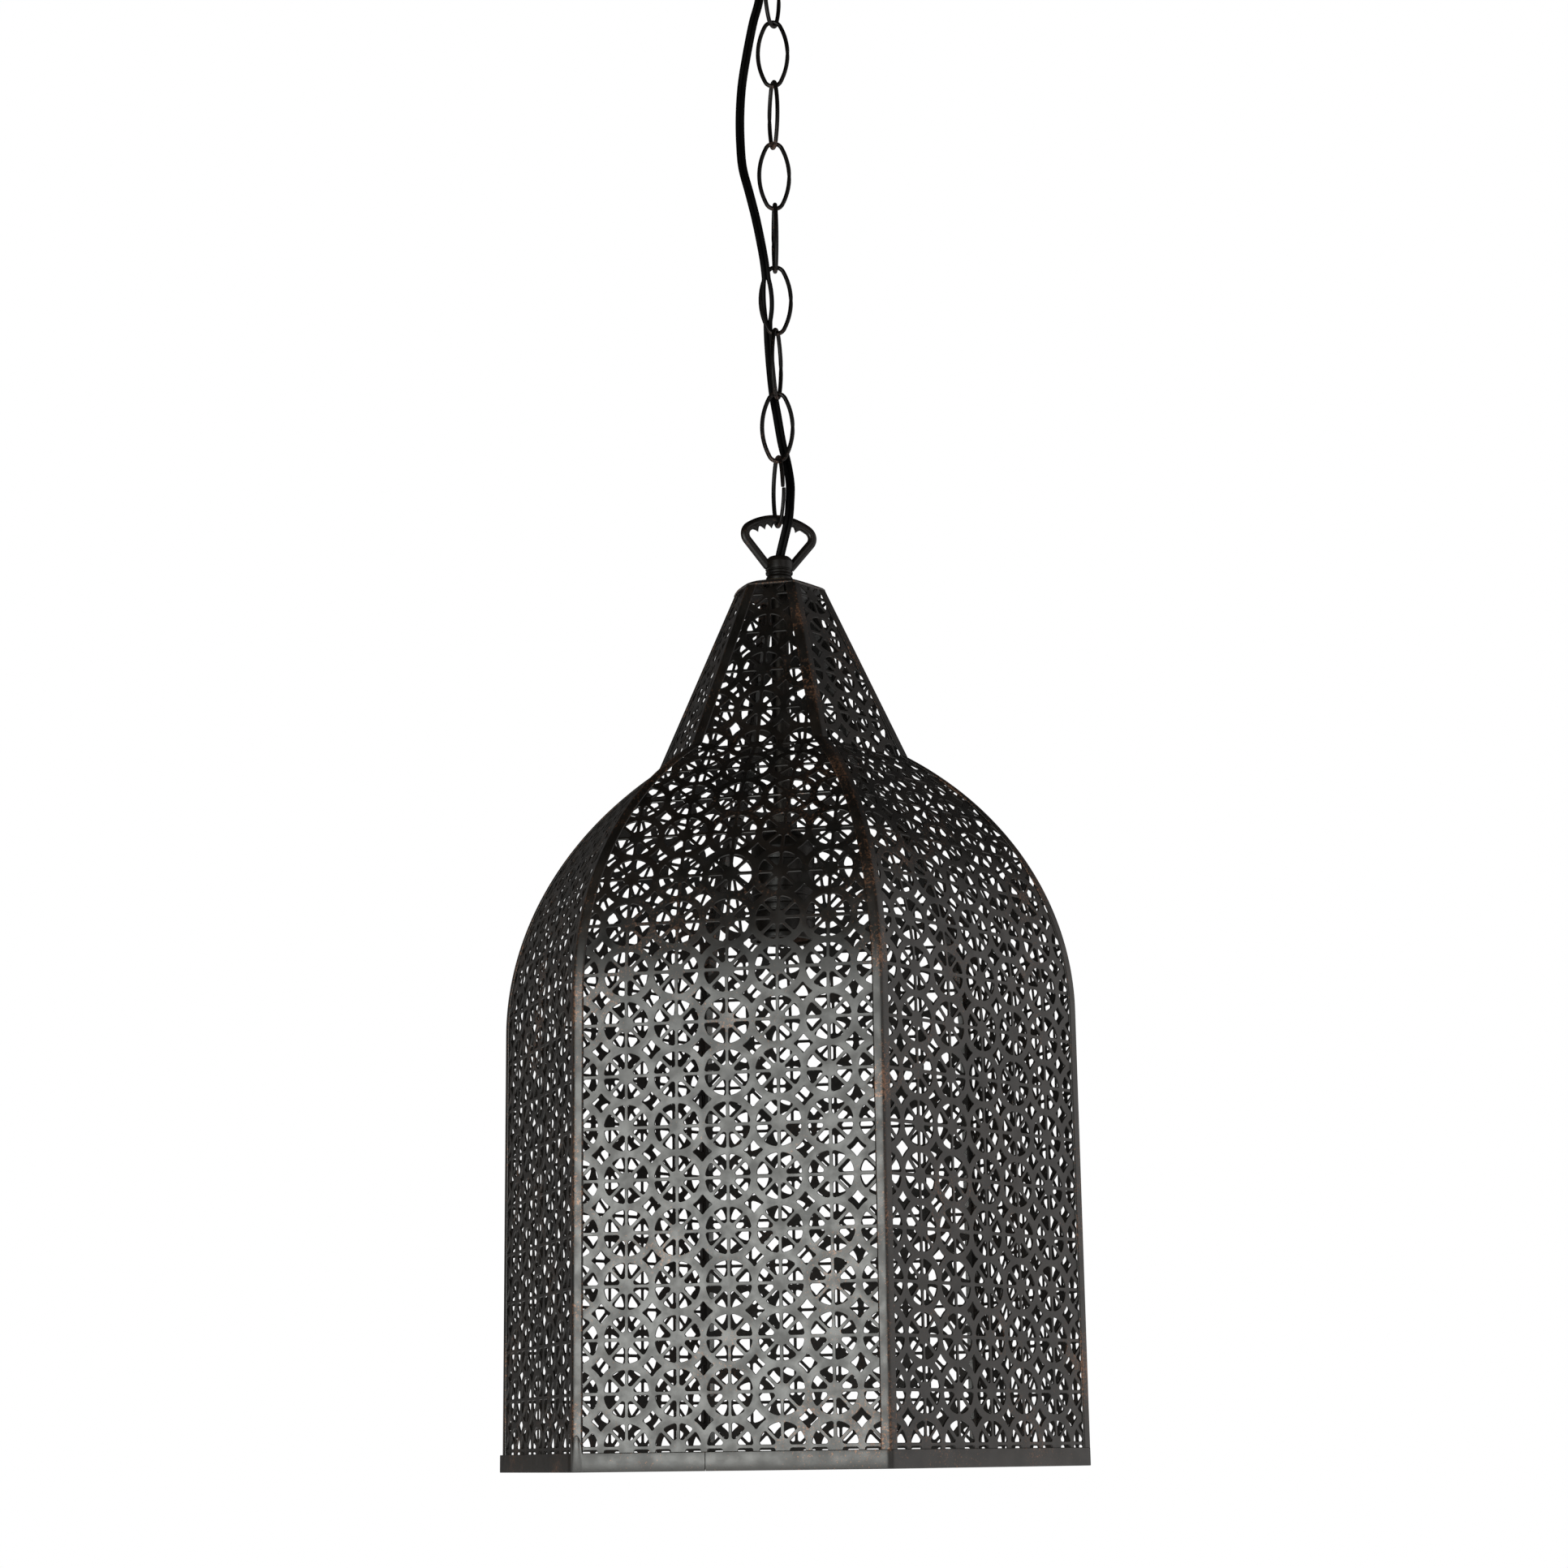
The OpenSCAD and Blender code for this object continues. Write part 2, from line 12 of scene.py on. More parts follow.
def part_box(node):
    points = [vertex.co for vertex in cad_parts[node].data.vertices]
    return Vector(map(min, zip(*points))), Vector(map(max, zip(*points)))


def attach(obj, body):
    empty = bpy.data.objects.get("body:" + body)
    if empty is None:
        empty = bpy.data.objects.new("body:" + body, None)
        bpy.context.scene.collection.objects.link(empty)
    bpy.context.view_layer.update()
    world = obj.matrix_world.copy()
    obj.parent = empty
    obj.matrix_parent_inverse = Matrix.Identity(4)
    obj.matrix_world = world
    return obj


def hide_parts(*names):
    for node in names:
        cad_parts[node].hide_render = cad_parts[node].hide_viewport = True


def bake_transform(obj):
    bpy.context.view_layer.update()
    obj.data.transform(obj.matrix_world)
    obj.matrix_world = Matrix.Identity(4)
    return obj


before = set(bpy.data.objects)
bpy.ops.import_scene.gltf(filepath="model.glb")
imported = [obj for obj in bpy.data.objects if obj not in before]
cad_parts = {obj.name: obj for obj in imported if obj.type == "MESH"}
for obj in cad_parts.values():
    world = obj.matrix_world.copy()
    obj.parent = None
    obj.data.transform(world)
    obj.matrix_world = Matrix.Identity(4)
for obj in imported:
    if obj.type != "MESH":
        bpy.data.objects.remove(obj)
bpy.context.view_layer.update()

MM = 0.001
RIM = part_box("bottom_band")[0].z          # the lantern's lower edge
LINKS = 9
SCENE = bpy.context.scene


# --- camera
CAM_TURN = 12.296       # degrees to the right of the front side's normal
CAM_AWAY = 1.5840       # from the lantern's axis
CAM_ABOVE_RIM = 0.0046
CAM_HEADING = 12.255    # degrees to the left of +Y
CAM_PITCH = 12.698
CAM_ROLL = -0.735
CAM_LENS = 68.89


def make_camera():
    data = bpy.data.cameras.new("camera")
    data.lens = CAM_LENS
    data.sensor_width = 36
    cam = bpy.data.objects.new("camera", data)
    SCENE.collection.objects.link(cam)
    turn, heading, pitch = (math.radians(a) for a in (CAM_TURN, CAM_HEADING, CAM_PITCH))
    cam.location = (CAM_AWAY*math.sin(turn), -CAM_AWAY*math.cos(turn), RIM + CAM_ABOVE_RIM)
    look = Vector((-math.sin(heading)*math.cos(pitch), math.cos(heading)*math.cos(pitch),
                   math.sin(pitch)))
    cam.rotation_mode = "QUATERNION"
    level = look.to_track_quat("-Z", "Y").to_matrix().to_4x4()
    roll = Matrix.Rotation(math.radians(CAM_ROLL), 4, "Z")
    cam.rotation_quaternion = (level @ roll).to_quaternion()
    SCENE.camera = cam


make_camera()


# --- mesh helpers
def unit(v):
    return v/np.linalg.norm(v)


def add_object(name, mesh, smooth_angle=35):
    for p in mesh.polygons:
        p.use_smooth = True
    mesh.set_sharp_from_angle(angle=math.radians(smooth_angle))
    obj = bpy.data.objects.new(name, mesh)
    SCENE.collection.objects.link(obj)
    return obj


def solid(name, verts, faces, wear=None, smooth_angle=35):
    """A closed piece with its faces turned outward. wear is how rubbed each of its points is."""
    mesh = bpy.data.meshes.new(name)
    mesh.from_pydata(np.array(verts, float).tolist(), [], faces)
    if wear is not None:
        layer = mesh.attributes.new("wear", "FLOAT", "POINT")
        layer.data.foreach_set("value", np.asarray(wear, np.float32))
    mesh.validate()
    bm = bmesh.new()
    bm.from_mesh(mesh)
    bmesh.ops.recalc_face_normals(bm, faces=bm.faces)
    bm.to_mesh(mesh)
    bm.free()
    return add_object(name, mesh, smooth_angle)


def ring_faces(rings, count, first, closed):
    """The faces between rings of count points; the last ring joins the first one when closed."""
    faces = []
    for i in range(rings if closed else rings - 1):
        here, beyond = first + i*count, first + (i + 1) % rings*count
        for j in range(count):
            after = (j + 1) % count
            faces.append((here + j, here + after, beyond + after, beyond + j))
    return faces


def tube(rings, closed=False, first=0):
    """Vertices and faces of a tube through rings of points, capped unless it closes on itself."""
    n, m = len(rings), len(rings[0])
    faces = ring_faces(n, m, first, closed)
    if not closed:
        faces += [tuple(first + j for j in reversed(range(m))),
                  tuple(first + (n - 1)*m + j for j in range(m))]
    return [p for r in rings for p in r], faces


def directions(path, closed=False):
    path = np.asarray(path, float)
    if closed:
        d = np.roll(path, -1, 0) - np.roll(path, 1, 0)
    else:
        d = np.gradient(path, axis=0)
    return d/np.linalg.norm(d, axis=1)[:, None]


def planar_rings(path, normal, section, closed=False):
    """The section (across, along the plane's normal) at every point of a path that lies in a plane.
    The section is a list of points, or a function that gives one for each point of the path."""
    normal = unit(np.asarray(normal, float))
    rings = []
    for i, (p, t) in enumerate(zip(np.asarray(path, float), directions(path, closed))):
        points = section(i) if callable(section) else section
        rings.append([p + u*np.cross(normal, t) + v*normal for u, v in points])
    return rings


def upright_plane(degrees):
    """The directions across and out of an upright plane with this heading."""
    a = math.radians(degrees)
    return np.array([math.cos(a), math.sin(a), 0]), np.array([math.sin(a), -math.cos(a), 0])


def circle(r, n=16):
    return [(r*math.cos(2*math.pi*j/n), r*math.sin(2*math.pi*j/n)) for j in range(n)]


def arc(cx, cy, r, a0, a1, n):
    """Points of an arc, angles in degrees."""
    angles = [math.radians(a0 + (a1 - a0)*i/n) for i in range(n + 1)]
    return [(cx + r*math.cos(a), cy + r*math.sin(a)) for a in angles]


def rounded(points, radius, steps=4):
    """A closed outline with its corners rounded. A point's third number is its own radius."""
    nearly_straight, edge_share = math.radians(88), 0.45
    points = [p for i, p in enumerate(points) if math.dist(p[:2], points[i - 1][:2]) > 1e-9]
    out = []
    n = len(points)
    for i in range(n):
        p = np.array(points[i][:2], float)
        r = points[i][2] if len(points[i]) > 2 else radius
        a = np.array(points[i - 1][:2], float) - p
        b = np.array(points[(i + 1) % n][:2], float) - p
        la, lb = np.linalg.norm(a), np.linalg.norm(b)
        a, b = a/la, b/lb
        half = math.acos(max(-1, min(1, float(a @ b))))/2
        if r <= 0 or half > nearly_straight:
            out.append(tuple(p))
            continue
        cut = min(r/math.tan(half), edge_share*la, edge_share*lb)
        r = cut*math.tan(half)
        centre = p + unit(a + b)*r/math.sin(half)
        s, e = p + a*cut - centre, p + b*cut - centre
        turn = math.atan2(s[0]*e[1] - s[1]*e[0], float(s @ e))
        for k in range(steps + 1):
            t = turn*k/steps
            out.append(tuple(centre + np.array([s[0]*math.cos(t) - s[1]*math.sin(t),
                                                s[0]*math.sin(t) + s[1]*math.cos(t)])))
    return out


def piece(obj, body, material, node):
    """Puts a finished piece on its body, unless it bends between two and in
    place of its CAD node."""
    obj.data.materials.clear()
    obj.data.materials.append(material)
    if body:
        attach(obj, body)
    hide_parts(node)


# --- materials
def node_tree(name):
    mat = bpy.data.materials.new(name)
    mat.use_nodes = True
    tree = mat.node_tree
    tree.nodes.clear()
    out = tree.nodes.new("ShaderNodeOutputMaterial")
    shader = tree.nodes.new("ShaderNodeBsdfPrincipled")
    tree.links.new(shader.outputs["BSDF"], out.inputs["Surface"])
    return mat, tree, shader


RANGE_SOCKETS = ("From Min", "From Max", "To Min", "To Max")


class Nodes:
    """Short words for the nodes that the materials share. Noise scales are waves per metre."""

    def __init__(self, name):
        self.mat, self.tree, self.shader = node_tree(name)
        self.coord = self.tree.nodes.new("ShaderNodeTexCoord").outputs["Object"]

    def link(self, a, b):
        self.tree.links.new(a, b)

    def noise(self, scale, detail=3, rough=0.55, vector=None):
        n = self.tree.nodes.new("ShaderNodeTexNoise")
        n.inputs["Scale"].default_value = scale
        n.inputs["Detail"].default_value = detail
        n.inputs["Roughness"].default_value = rough
        self.link(vector or self.coord, n.inputs["Vector"])
        return n.outputs["Fac"]

    def stretched(self, x, y, z):
        n = self.tree.nodes.new("ShaderNodeMapping")
        n.inputs["Scale"].default_value = (x, y, z)
        self.link(self.coord, n.inputs["Vector"])
        return n.outputs["Vector"]

    def range(self, value, low, high, to_low=0.0, to_high=1.0):
        n = self.tree.nodes.new("ShaderNodeMapRange")
        n.interpolation_type = "SMOOTHSTEP"
        for key, v in zip(RANGE_SOCKETS, (low, high, to_low, to_high)):
            n.inputs[key].default_value = v
        self.link(value, n.inputs["Value"])
        return n.outputs["Result"]

    def math(self, operation, a, b):
        n = self.tree.nodes.new("ShaderNodeMath")
        n.operation = operation
        for socket, v in zip(n.inputs, (a, b)):
            if isinstance(v, (int, float)):
                socket.default_value = v
            else:
                self.link(v, socket)
        return n.outputs["Value"]

    def mix(self, factor, a, b):
        n = self.tree.nodes.new("ShaderNodeMix")
        n.data_type = "RGBA"
        self.link(factor, n.inputs["Factor"])
        for socket, v in ((n.inputs[6], a), (n.inputs[7], b)):
            if isinstance(v, tuple):
                socket.default_value = (*v, 1)
            else:
                self.link(v, socket)
        return n.outputs[2]

    def attribute(self, name):
        n = self.tree.nodes.new("ShaderNodeAttribute")
        n.attribute_name = name
        return n.outputs["Fac"]

    def bump(self, height, strength, distance, normal=None):
        n = self.tree.nodes.new("ShaderNodeBump")
        n.inputs["Strength"].default_value = strength
        n.inputs["Distance"].default_value = distance
        self.link(height, n.inputs["Height"])
        if normal:
            self.link(normal, n.inputs["Normal"])
        return n.outputs["Normal"]

    def finish(self, colour, roughness, metallic, normal):
        for key, value in (("Base Color", colour), ("Roughness", roughness), ("Metallic", metallic),
                           ("Normal", normal)):
            if isinstance(value, float):
                self.shader.inputs[key].default_value = value
            else:
                self.link(value, self.shader.inputs[key])
        return self.mat


LACQUER_IOR = 1.7
SPECKLE_SCALE = 800
PATCH_SCALE = 24        # the speckles gather in patches
SPECKLE_SHARE = 0.6
WEAR_SHARE = 0.16       # how much the wear attribute adds to the speckles
RUB_START = 0.67
RUB_FULL = 0.74
INSIDE_PAINTED_SHADE = 0.7      # how much of the copper the inside of a sheet loses, as painted shade inside the lantern
INSIDE_ROUGH = 0.25
INSIDE_GLOSS = 0.4
COPPER_METALLIC = 0.45


def bronze(name, dark, brown, copper, worn, rough=(0.3, 0.44), bump=0.25, gloss=0.5, sheet=False):
    """Dark bronze lacquer over metal. Copper shows through it as speckles, more of them where the
    wear attribute is high; worn says how easily, from 0 to 1. The inside of a sheet, marked by its
    own attribute, is dull, and most of its copper is held back there as painted shade."""
    n = Nodes(name)
    clouds = n.range(n.noise(38, 4), 0.38, 0.66)
    base = n.mix(clouds, dark, brown)
    speckle = n.math("ADD", n.math("MULTIPLY", n.noise(SPECKLE_SCALE, 3, 0.8), SPECKLE_SHARE),
                     n.math("MULTIPLY", n.noise(PATCH_SCALE, 3), 1 - SPECKLE_SHARE))
    rub = n.range(n.math("ADD", speckle, n.math("MULTIPLY", n.attribute("wear"), WEAR_SHARE)),
                  RUB_START - 0.1*worn, RUB_FULL - 0.1*worn)
    inside = n.attribute("inside")
    # painted shade: the inside of a sheet loses most of its copper, so it shows darker
    copper_left_by_painted_shade = n.math("SUBTRACT", 1.0, n.math("MULTIPLY", inside, INSIDE_PAINTED_SHADE))
    colour = n.mix(n.math("MULTIPLY", rub, copper_left_by_painted_shade), base, copper)
    roughness = n.range(n.noise(90, 4), 0.3, 0.7, rough[0], rough[1])
    roughness = n.math("ADD", roughness, n.math("MULTIPLY", inside, INSIDE_ROUGH))
    n.shader.inputs["IOR"].default_value = LACQUER_IOR
    level = n.shader.inputs["Specular IOR Level"]
    level.default_value = gloss
    if sheet:
        n.link(n.range(inside, 0.0, 1.0, gloss, INSIDE_GLOSS*gloss), level)
    metallic = n.math("MULTIPLY", rub, COPPER_METALLIC)
    fine = n.bump(n.noise(420, 4, 0.6), bump, 0.00008)
    return n.finish(colour, roughness, metallic, n.bump(n.noise(55, 2), 0.1, 0.0004, fine))


def turned_metal(name, light, dull, rough=(0.22, 0.42)):
    """Bare or plated metal with fine turning marks and a little tarnish."""
    n = Nodes(name)
    tarnish = n.range(n.noise(160, 4, 0.6), 0.42, 0.72)
    colour = n.mix(tarnish, light, dull)
    marks = n.noise(1.0, 3, 0.6, n.stretched(300, 300, 5200))
    roughness = n.range(n.noise(240, 3), 0.3, 0.7, rough[0], rough[1])
    return n.finish(colour, roughness, 1.0, n.bump(marks, 0.12, 0.0001))


def plastic(name, base, shade, rough=(0.3, 0.45), bump=0.1, scale=500, gloss=0.5):
    """Moulded or glazed material with a slight mottle."""
    n = Nodes(name)
    colour = n.mix(n.range(n.noise(70, 4), 0.35, 0.7), base, shade)
    roughness = n.range(n.noise(130, 3), 0.3, 0.7, rough[0], rough[1])
    n.shader.inputs["Specular IOR Level"].default_value = gloss
    return n.finish(colour, roughness, 0.0, n.bump(n.noise(scale, 3), bump, 0.0001))


def pressed_fibre(name):
    n = Nodes(name)
    fibres = n.noise(1.0, 4, 0.7, n.stretched(900, 900, 160))
    colour = n.mix(n.range(fibres, 0.35, 0.65), (0.035, 0.019, 0.012), (0.06, 0.035, 0.024))
    return n.finish(colour, 0.8, 0.0, n.bump(fibres, 0.3, 0.0001))


SHEET = bronze("pierced_sheet", (0.005, 0.0042, 0.0033), (0.013, 0.0095, 0.0072),
               (0.17, 0.095, 0.062), 0.9, sheet=True)
STRIP = bronze("corner_strip", (0.006, 0.005, 0.004), (0.015, 0.011, 0.008),
               (0.24, 0.125, 0.075), 0.6)
CHAIN = bronze("chain_wire", (0.002, 0.0017, 0.0014), (0.005, 0.004, 0.0034),
               (0.1, 0.06, 0.045), 0.3, gloss=0.16)
CAST = bronze("cast_hanger", (0.004, 0.0034, 0.0028), (0.01, 0.0075, 0.006),
              (0.16, 0.08, 0.05), 0.6, bump=0.6, gloss=0.22)
IRON = bronze("aged_iron", (0.011, 0.009, 0.0075), (0.022, 0.017, 0.013),
              (0.22, 0.12, 0.075), 0.6)
WASHER = turned_metal("worn_brass", (0.5, 0.42, 0.3), (0.3, 0.24, 0.17))
BRASS = turned_metal("brass", (0.78, 0.58, 0.28), (0.5, 0.36, 0.17))
STEEL = turned_metal("blackened_steel", (0.06, 0.055, 0.05), (0.035, 0.03, 0.026), (0.4, 0.55))
ZINC = turned_metal("zinc_steel", (0.62, 0.62, 0.6), (0.4, 0.4, 0.39))
BAKELITE = plastic("black_bakelite", (0.007, 0.0062, 0.005), (0.016, 0.013, 0.01))
PORCELAIN = plastic("porcelain", (0.72, 0.68, 0.6), (0.62, 0.57, 0.48), (0.12, 0.25))
FIBRE = pressed_fibre("paper_liner")
NYLON = plastic("white_plastic", (0.66, 0.65, 0.6), (0.6, 0.58, 0.52), (0.4, 0.55))
RUBBER = plastic("black_rubber", (0.014, 0.014, 0.014), (0.02, 0.02, 0.02), (0.55, 0.75), 0.3)
VINYL = plastic("cord_jacket", (0.0015, 0.0015, 0.0015), (0.003, 0.003, 0.003), (0.42, 0.55), 0.12,
                700, gloss=0.1)

# --- cords
CORE_R = 1.3*MM
CORE_OFFSET = 1.23*MM           # from the cord's middle to the middle of a core
SPLIT = 1.05*MM                 # how far each core moves out where the two are pulled apart
SPLIT_AT = RIM + 640*MM
SPLIT_HALF = 11*MM              # half the length of the gap
BROAD_ANGLE = math.radians(12)  # the way the cord's broad side lies
BROAD = np.array([math.cos(BROAD_ANGLE), math.sin(BROAD_ANGLE), 0])
COLLAR_MOUTH = RIM + 483.2*MM   # where the hanging cord ends, in the hanger's collar

# The cord's route, from the grommet in the canopy to the hanger's collar, as in the CAD model:
# x, y and the height above the lantern's lower edge, in millimetres
ROUTE = [
    (-17, -10, 880), (-17, -10, 871), (-15.2, -8.6, 861), (-10.4, -5.8, 849), (-7.6, -4, 837),
    (-6.8, -3, 824), (-11, -2, 809), (-15, -2, 789), (-18, -1.5, 771), (-19, -2.5, 752),
    (-18.5, -4, 734), (-17, -5.5, 719), (-13, -7, 703), (-9.5, -7.5, 688), (-6.5, -7.5, 672),
    (-4.5, -7.5, 659), (-4, -5, 648), (-4.4, -0.5, 636), (-5.5, 4, 623), (-5, 6, 605),
    (-3.5, 6.5, 587), (-1.5, 6.5, 574), (1, 6.5, 558), (4, 5.5, 545), (6.3, 2.5, 532),
    (7, -2.2, 520), (6.4, -4.2, 509), (3.4, -3, 498), (0.8, -0.7, 490), (0, 0, 483), (0, 0, 475)
]
# The route inside the canopy, from the grommet to the terminal block, in mm from the ceiling
TOP_ROUTE = [
    (-17, -10, -41), (-17, -10, -35), (-16.8, -9.5, -30), (-15.8, -7, -24.5), (-14, -3, -18.5),
    (-11.5, 1.8, -13.5), (-8.4, 6.5, -10.3), (-5.4, 10.5, -8.6), (-4, 13.8, -8), (-4, 15.9, -8)
]


def smooth_line(points, per=24):
    """A Catmull-Rom curve through the points, as many short steps."""
    p = np.array([points[0], *points, points[-1]], float)
    out = []
    for i in range(1, len(p) - 2):
        for t in np.arange(per)/per:
            out.append(0.5*(2*p[i] + (p[i + 1] - p[i - 1])*t
                            + (2*p[i - 1] - 5*p[i] + 4*p[i + 1] - p[i + 2])*t*t
                            + (3*p[i] - p[i - 1] - 3*p[i + 1] + p[i + 2])*t**3))
    return np.array(out + [p[-2]])


def at_even_steps(line, step=1.2*MM):
    run = np.concatenate([[0], np.cumsum(np.linalg.norm(np.diff(line, axis=0), axis=1))])
    where = np.linspace(0, run[-1], max(4, int(run[-1]/step)) + 1)
    return np.stack([np.interp(where, run, line[:, k]) for k in range(3)], axis=1)


def lobe(side, offset, joined):
    """One core's outline in the cord's cross-section, a whole circle where the cores are apart."""
    if not joined:
        return [(side*offset + CORE_R*math.cos(a), CORE_R*math.sin(a))
                for a in np.linspace(0, 2*math.pi, 20, endpoint=False)]
    reach = math.acos(-CORE_OFFSET/CORE_R)
    start = 0 if side > 0 else math.pi
    return [(side*CORE_OFFSET + CORE_R*math.cos(a), CORE_R*math.sin(a))
            for a in np.linspace(start - reach, start + reach, 15)[:-1]]


def cord_rings(path, tangents, sections):
    rings = []
    for p, t, section in zip(path, tangents, sections):
        w = unit(BROAD - (BROAD @ t)*t)
        n = np.cross(t, w)
        rings.append([p + u*w + v*n for u, v in section])
    return rings


def make_cord(name, path, tangents, split=False):
    """A flat two-core cord along a path, in one skin, or in two on a piece where its cores part."""
    verts, faces = [], []
    if split:
        apart = SPLIT*np.clip(1 - ((path[:, 2] - SPLIT_AT)/SPLIT_HALF)**2, 0, 1)
        groups = [[lobe(side, CORE_OFFSET + a, False) for a in apart] for side in (1, -1)]
    else:
        groups = [[lobe(1, 0, True) + lobe(-1, 0, True)]*len(path)]
    for sections in groups:
        v, f = tube(cord_rings(path, tangents, sections), first=len(verts))
        verts += v
        faces += f
    return solid(name, verts, faces, smooth_angle=50)


def make_cords():
    """The cord, cut in pieces by the chain's joints, each piece bent across its own joint."""
    line = smooth_line([(x*MM, y*MM, z*MM + RIM) for x, y, z in ROUTE])
    slope = directions(line)
    heights = line[::-1, 2]
    links = [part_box(f"link_{k}") for k in range(LINKS, 0, -1)]
    cuts = [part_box("cord_9")[1].z + 0.1*MM, *(low.z/2 + high.z/2 for low, high in links),
            COLLAR_MOUTH]

    def at_height(values, h):
        return np.array([np.interp(h, heights, values[::-1, c]) for c in range(3)])

    for k, high, low in zip(range(LINKS, -1, -1), cuts, cuts[1:]):
        path = at_even_steps(np.array([at_height(line, h) for h in np.linspace(high, low, 60)]))
        tangents = [unit(at_height(slope, p[2])) for p in path]
        split = min(high, SPLIT_AT + SPLIT_HALF) > max(low, SPLIT_AT - SPLIT_HALF)
        obj = make_cord(f"lamp_cord_{k}", path, tangents, split)
        piece(obj, None, VINYL, f"cord_{k}")
        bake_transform(obj)
    top = smooth_line([(x*MM, y*MM, z*MM) for x, y, z in reversed(TOP_ROUTE)])
    fixed_cord("lamp_cord_top", top, "ceiling_fitting", "cord_top")
    low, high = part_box("cord_stem")
    stem = np.array([[0, 0, high.z], [0, 0, (high.z + low.z)/2], [0, 0, low.z]])
    fixed_cord("lamp_cord_stem", stem, "lantern", "cord_stem")


def fixed_cord(name, line, body, node):
    path = at_even_steps(line)
    obj = make_cord(name, path, directions(path))
    piece(obj, body, VINYL, node)


make_cords()

# --- sheet profile
SIDES = 6
STRAIGHT = 231*MM               # height at which the sides start to curve in
DOME_R = 170.5*MM
FOLD = 371.5*MM                 # height at which they turn up again, into the neck
NECK_TOP = 468*MM
FACE = 133.5*MM                 # from the axis to a side
NECK = 21.65*MM                 # and at the neck's top
SHEET_T = 0.8*MM
MITRE = math.tan(math.radians(30))

dome_angle = math.asin((FOLD - STRAIGHT)/DOME_R)
fold_a = FACE - DOME_R + DOME_R*math.cos(dome_angle)
neck_run = math.hypot(fold_a - NECK, NECK_TOP - FOLD)
t_fold = STRAIGHT + DOME_R*dome_angle
t_top = t_fold + neck_run


def profile(t):
    """Distance from the axis and height of a side's outer face, at distances t up along it."""
    t = np.asarray(t, float)
    angle = np.clip((t - STRAIGHT)/DOME_R, 0, dome_angle)
    a = FACE - DOME_R + DOME_R*np.cos(angle)
    z = np.minimum(t, STRAIGHT) + DOME_R*np.sin(angle)
    beyond = np.maximum(t - t_fold, 0)/neck_run
    return a + beyond*(NECK - fold_a), z + beyond*(NECK_TOP - FOLD)


def facing(t, reach=1.2*MM):
    """The outward normal in the same plane, softened over the fold."""
    (a0, z0), (a1, z1) = profile(t - reach), profile(t + reach)
    da, dz = a1 - a0, z1 - z0
    length = np.hypot(da, dz)
    return dz/length, -da/length


def on_side(side, s, t, off):
    """Points of side number `side`: s sideways, t along the profile, off out of the outer face."""
    turn = math.radians(90 + 60*side)
    out = np.array([math.cos(turn), math.sin(turn)])
    across = np.array([-math.sin(turn), math.cos(turn)])
    a, z = profile(t)
    na, nz = facing(t)
    radial = a + off*na
    return np.stack([out[0]*radial + across[0]*s, out[1]*radial + across[1]*s, RIM + z + off*nz],
                    axis=-1)


# --- pierced sheets
PITCH = 25.4*MM
FIRST_ROW = 0.437       # height of the lowest row of wheels, in pitches
ROWS = 20
COLUMNS = 3             # on each side of the middle one
SPOKES = 8
SPOKE_HALF = 0.033      # half a spoke's width; the rest of the pattern is in pitches too
RING_INNER = 0.443
TIP_CENTRE = 0.2        # where an opening's rounded tip is centred, towards the hub
CORNER_R = 0.035
STAR_ARC = 0.585        # radius of the star openings' arcs, about the wheels' centres
STAR_FILLET = 0.02
EDGE_ROUND = 0.008


def petal(grow):
    """One of a wheel's eight openings, on the +X axis, made larger all round by grow."""
    half = 180/SPOKES
    s = math.sin(math.radians(half))
    tip = TIP_CENTRE*s - SPOKE_HALF + grow
    beta = half - math.degrees(math.asin((SPOKE_HALF + CORNER_R)/(RING_INNER - CORNER_R)))
    cx = (RING_INNER - CORNER_R)*math.cos(math.radians(beta))
    cy = (RING_INNER - CORNER_R)*math.sin(math.radians(beta))
    corner = CORNER_R + grow
    return (arc(0, 0, RING_INNER + grow, -beta, beta, 4)[:-1]
            + arc(cx, cy, corner, beta, 90 + half, 4)
            + arc(TIP_CENTRE, 0, tip, 90 + half, 270 - half, 5)
            + arc(cx, -cy, corner, -90 - half, -beta, 4)[:-1])


def cell_outline(grow):
    """The outer edge of one wheel's square cell, with a quarter of a star cut from each corner."""
    yc = math.sqrt((STAR_ARC + STAR_FILLET)**2 - 0.25)
    lead = math.degrees(math.atan2(yc, 0.5))
    fillet = arc(0.5, yc, STAR_FILLET + grow, 270, 180 + lead, 3)
    star = arc(0, 0, STAR_ARC - grow, lead, 90 - lead, 5)[1:-1]
    far = [(y, x) for x, y in reversed(fillet)]
    side = [(0.5, y) for y in (-0.16, 0.0, 0.16)]     # where the next cell joins on
    quarter = side + fillet + star + far
    out = []
    for k in range(4):
        c, s = round(math.cos(k*math.pi/2)), round(math.sin(k*math.pi/2))
        out += [(x*c - y*s, x*s + y*c) for x, y in quarter]
    return out, len(side)


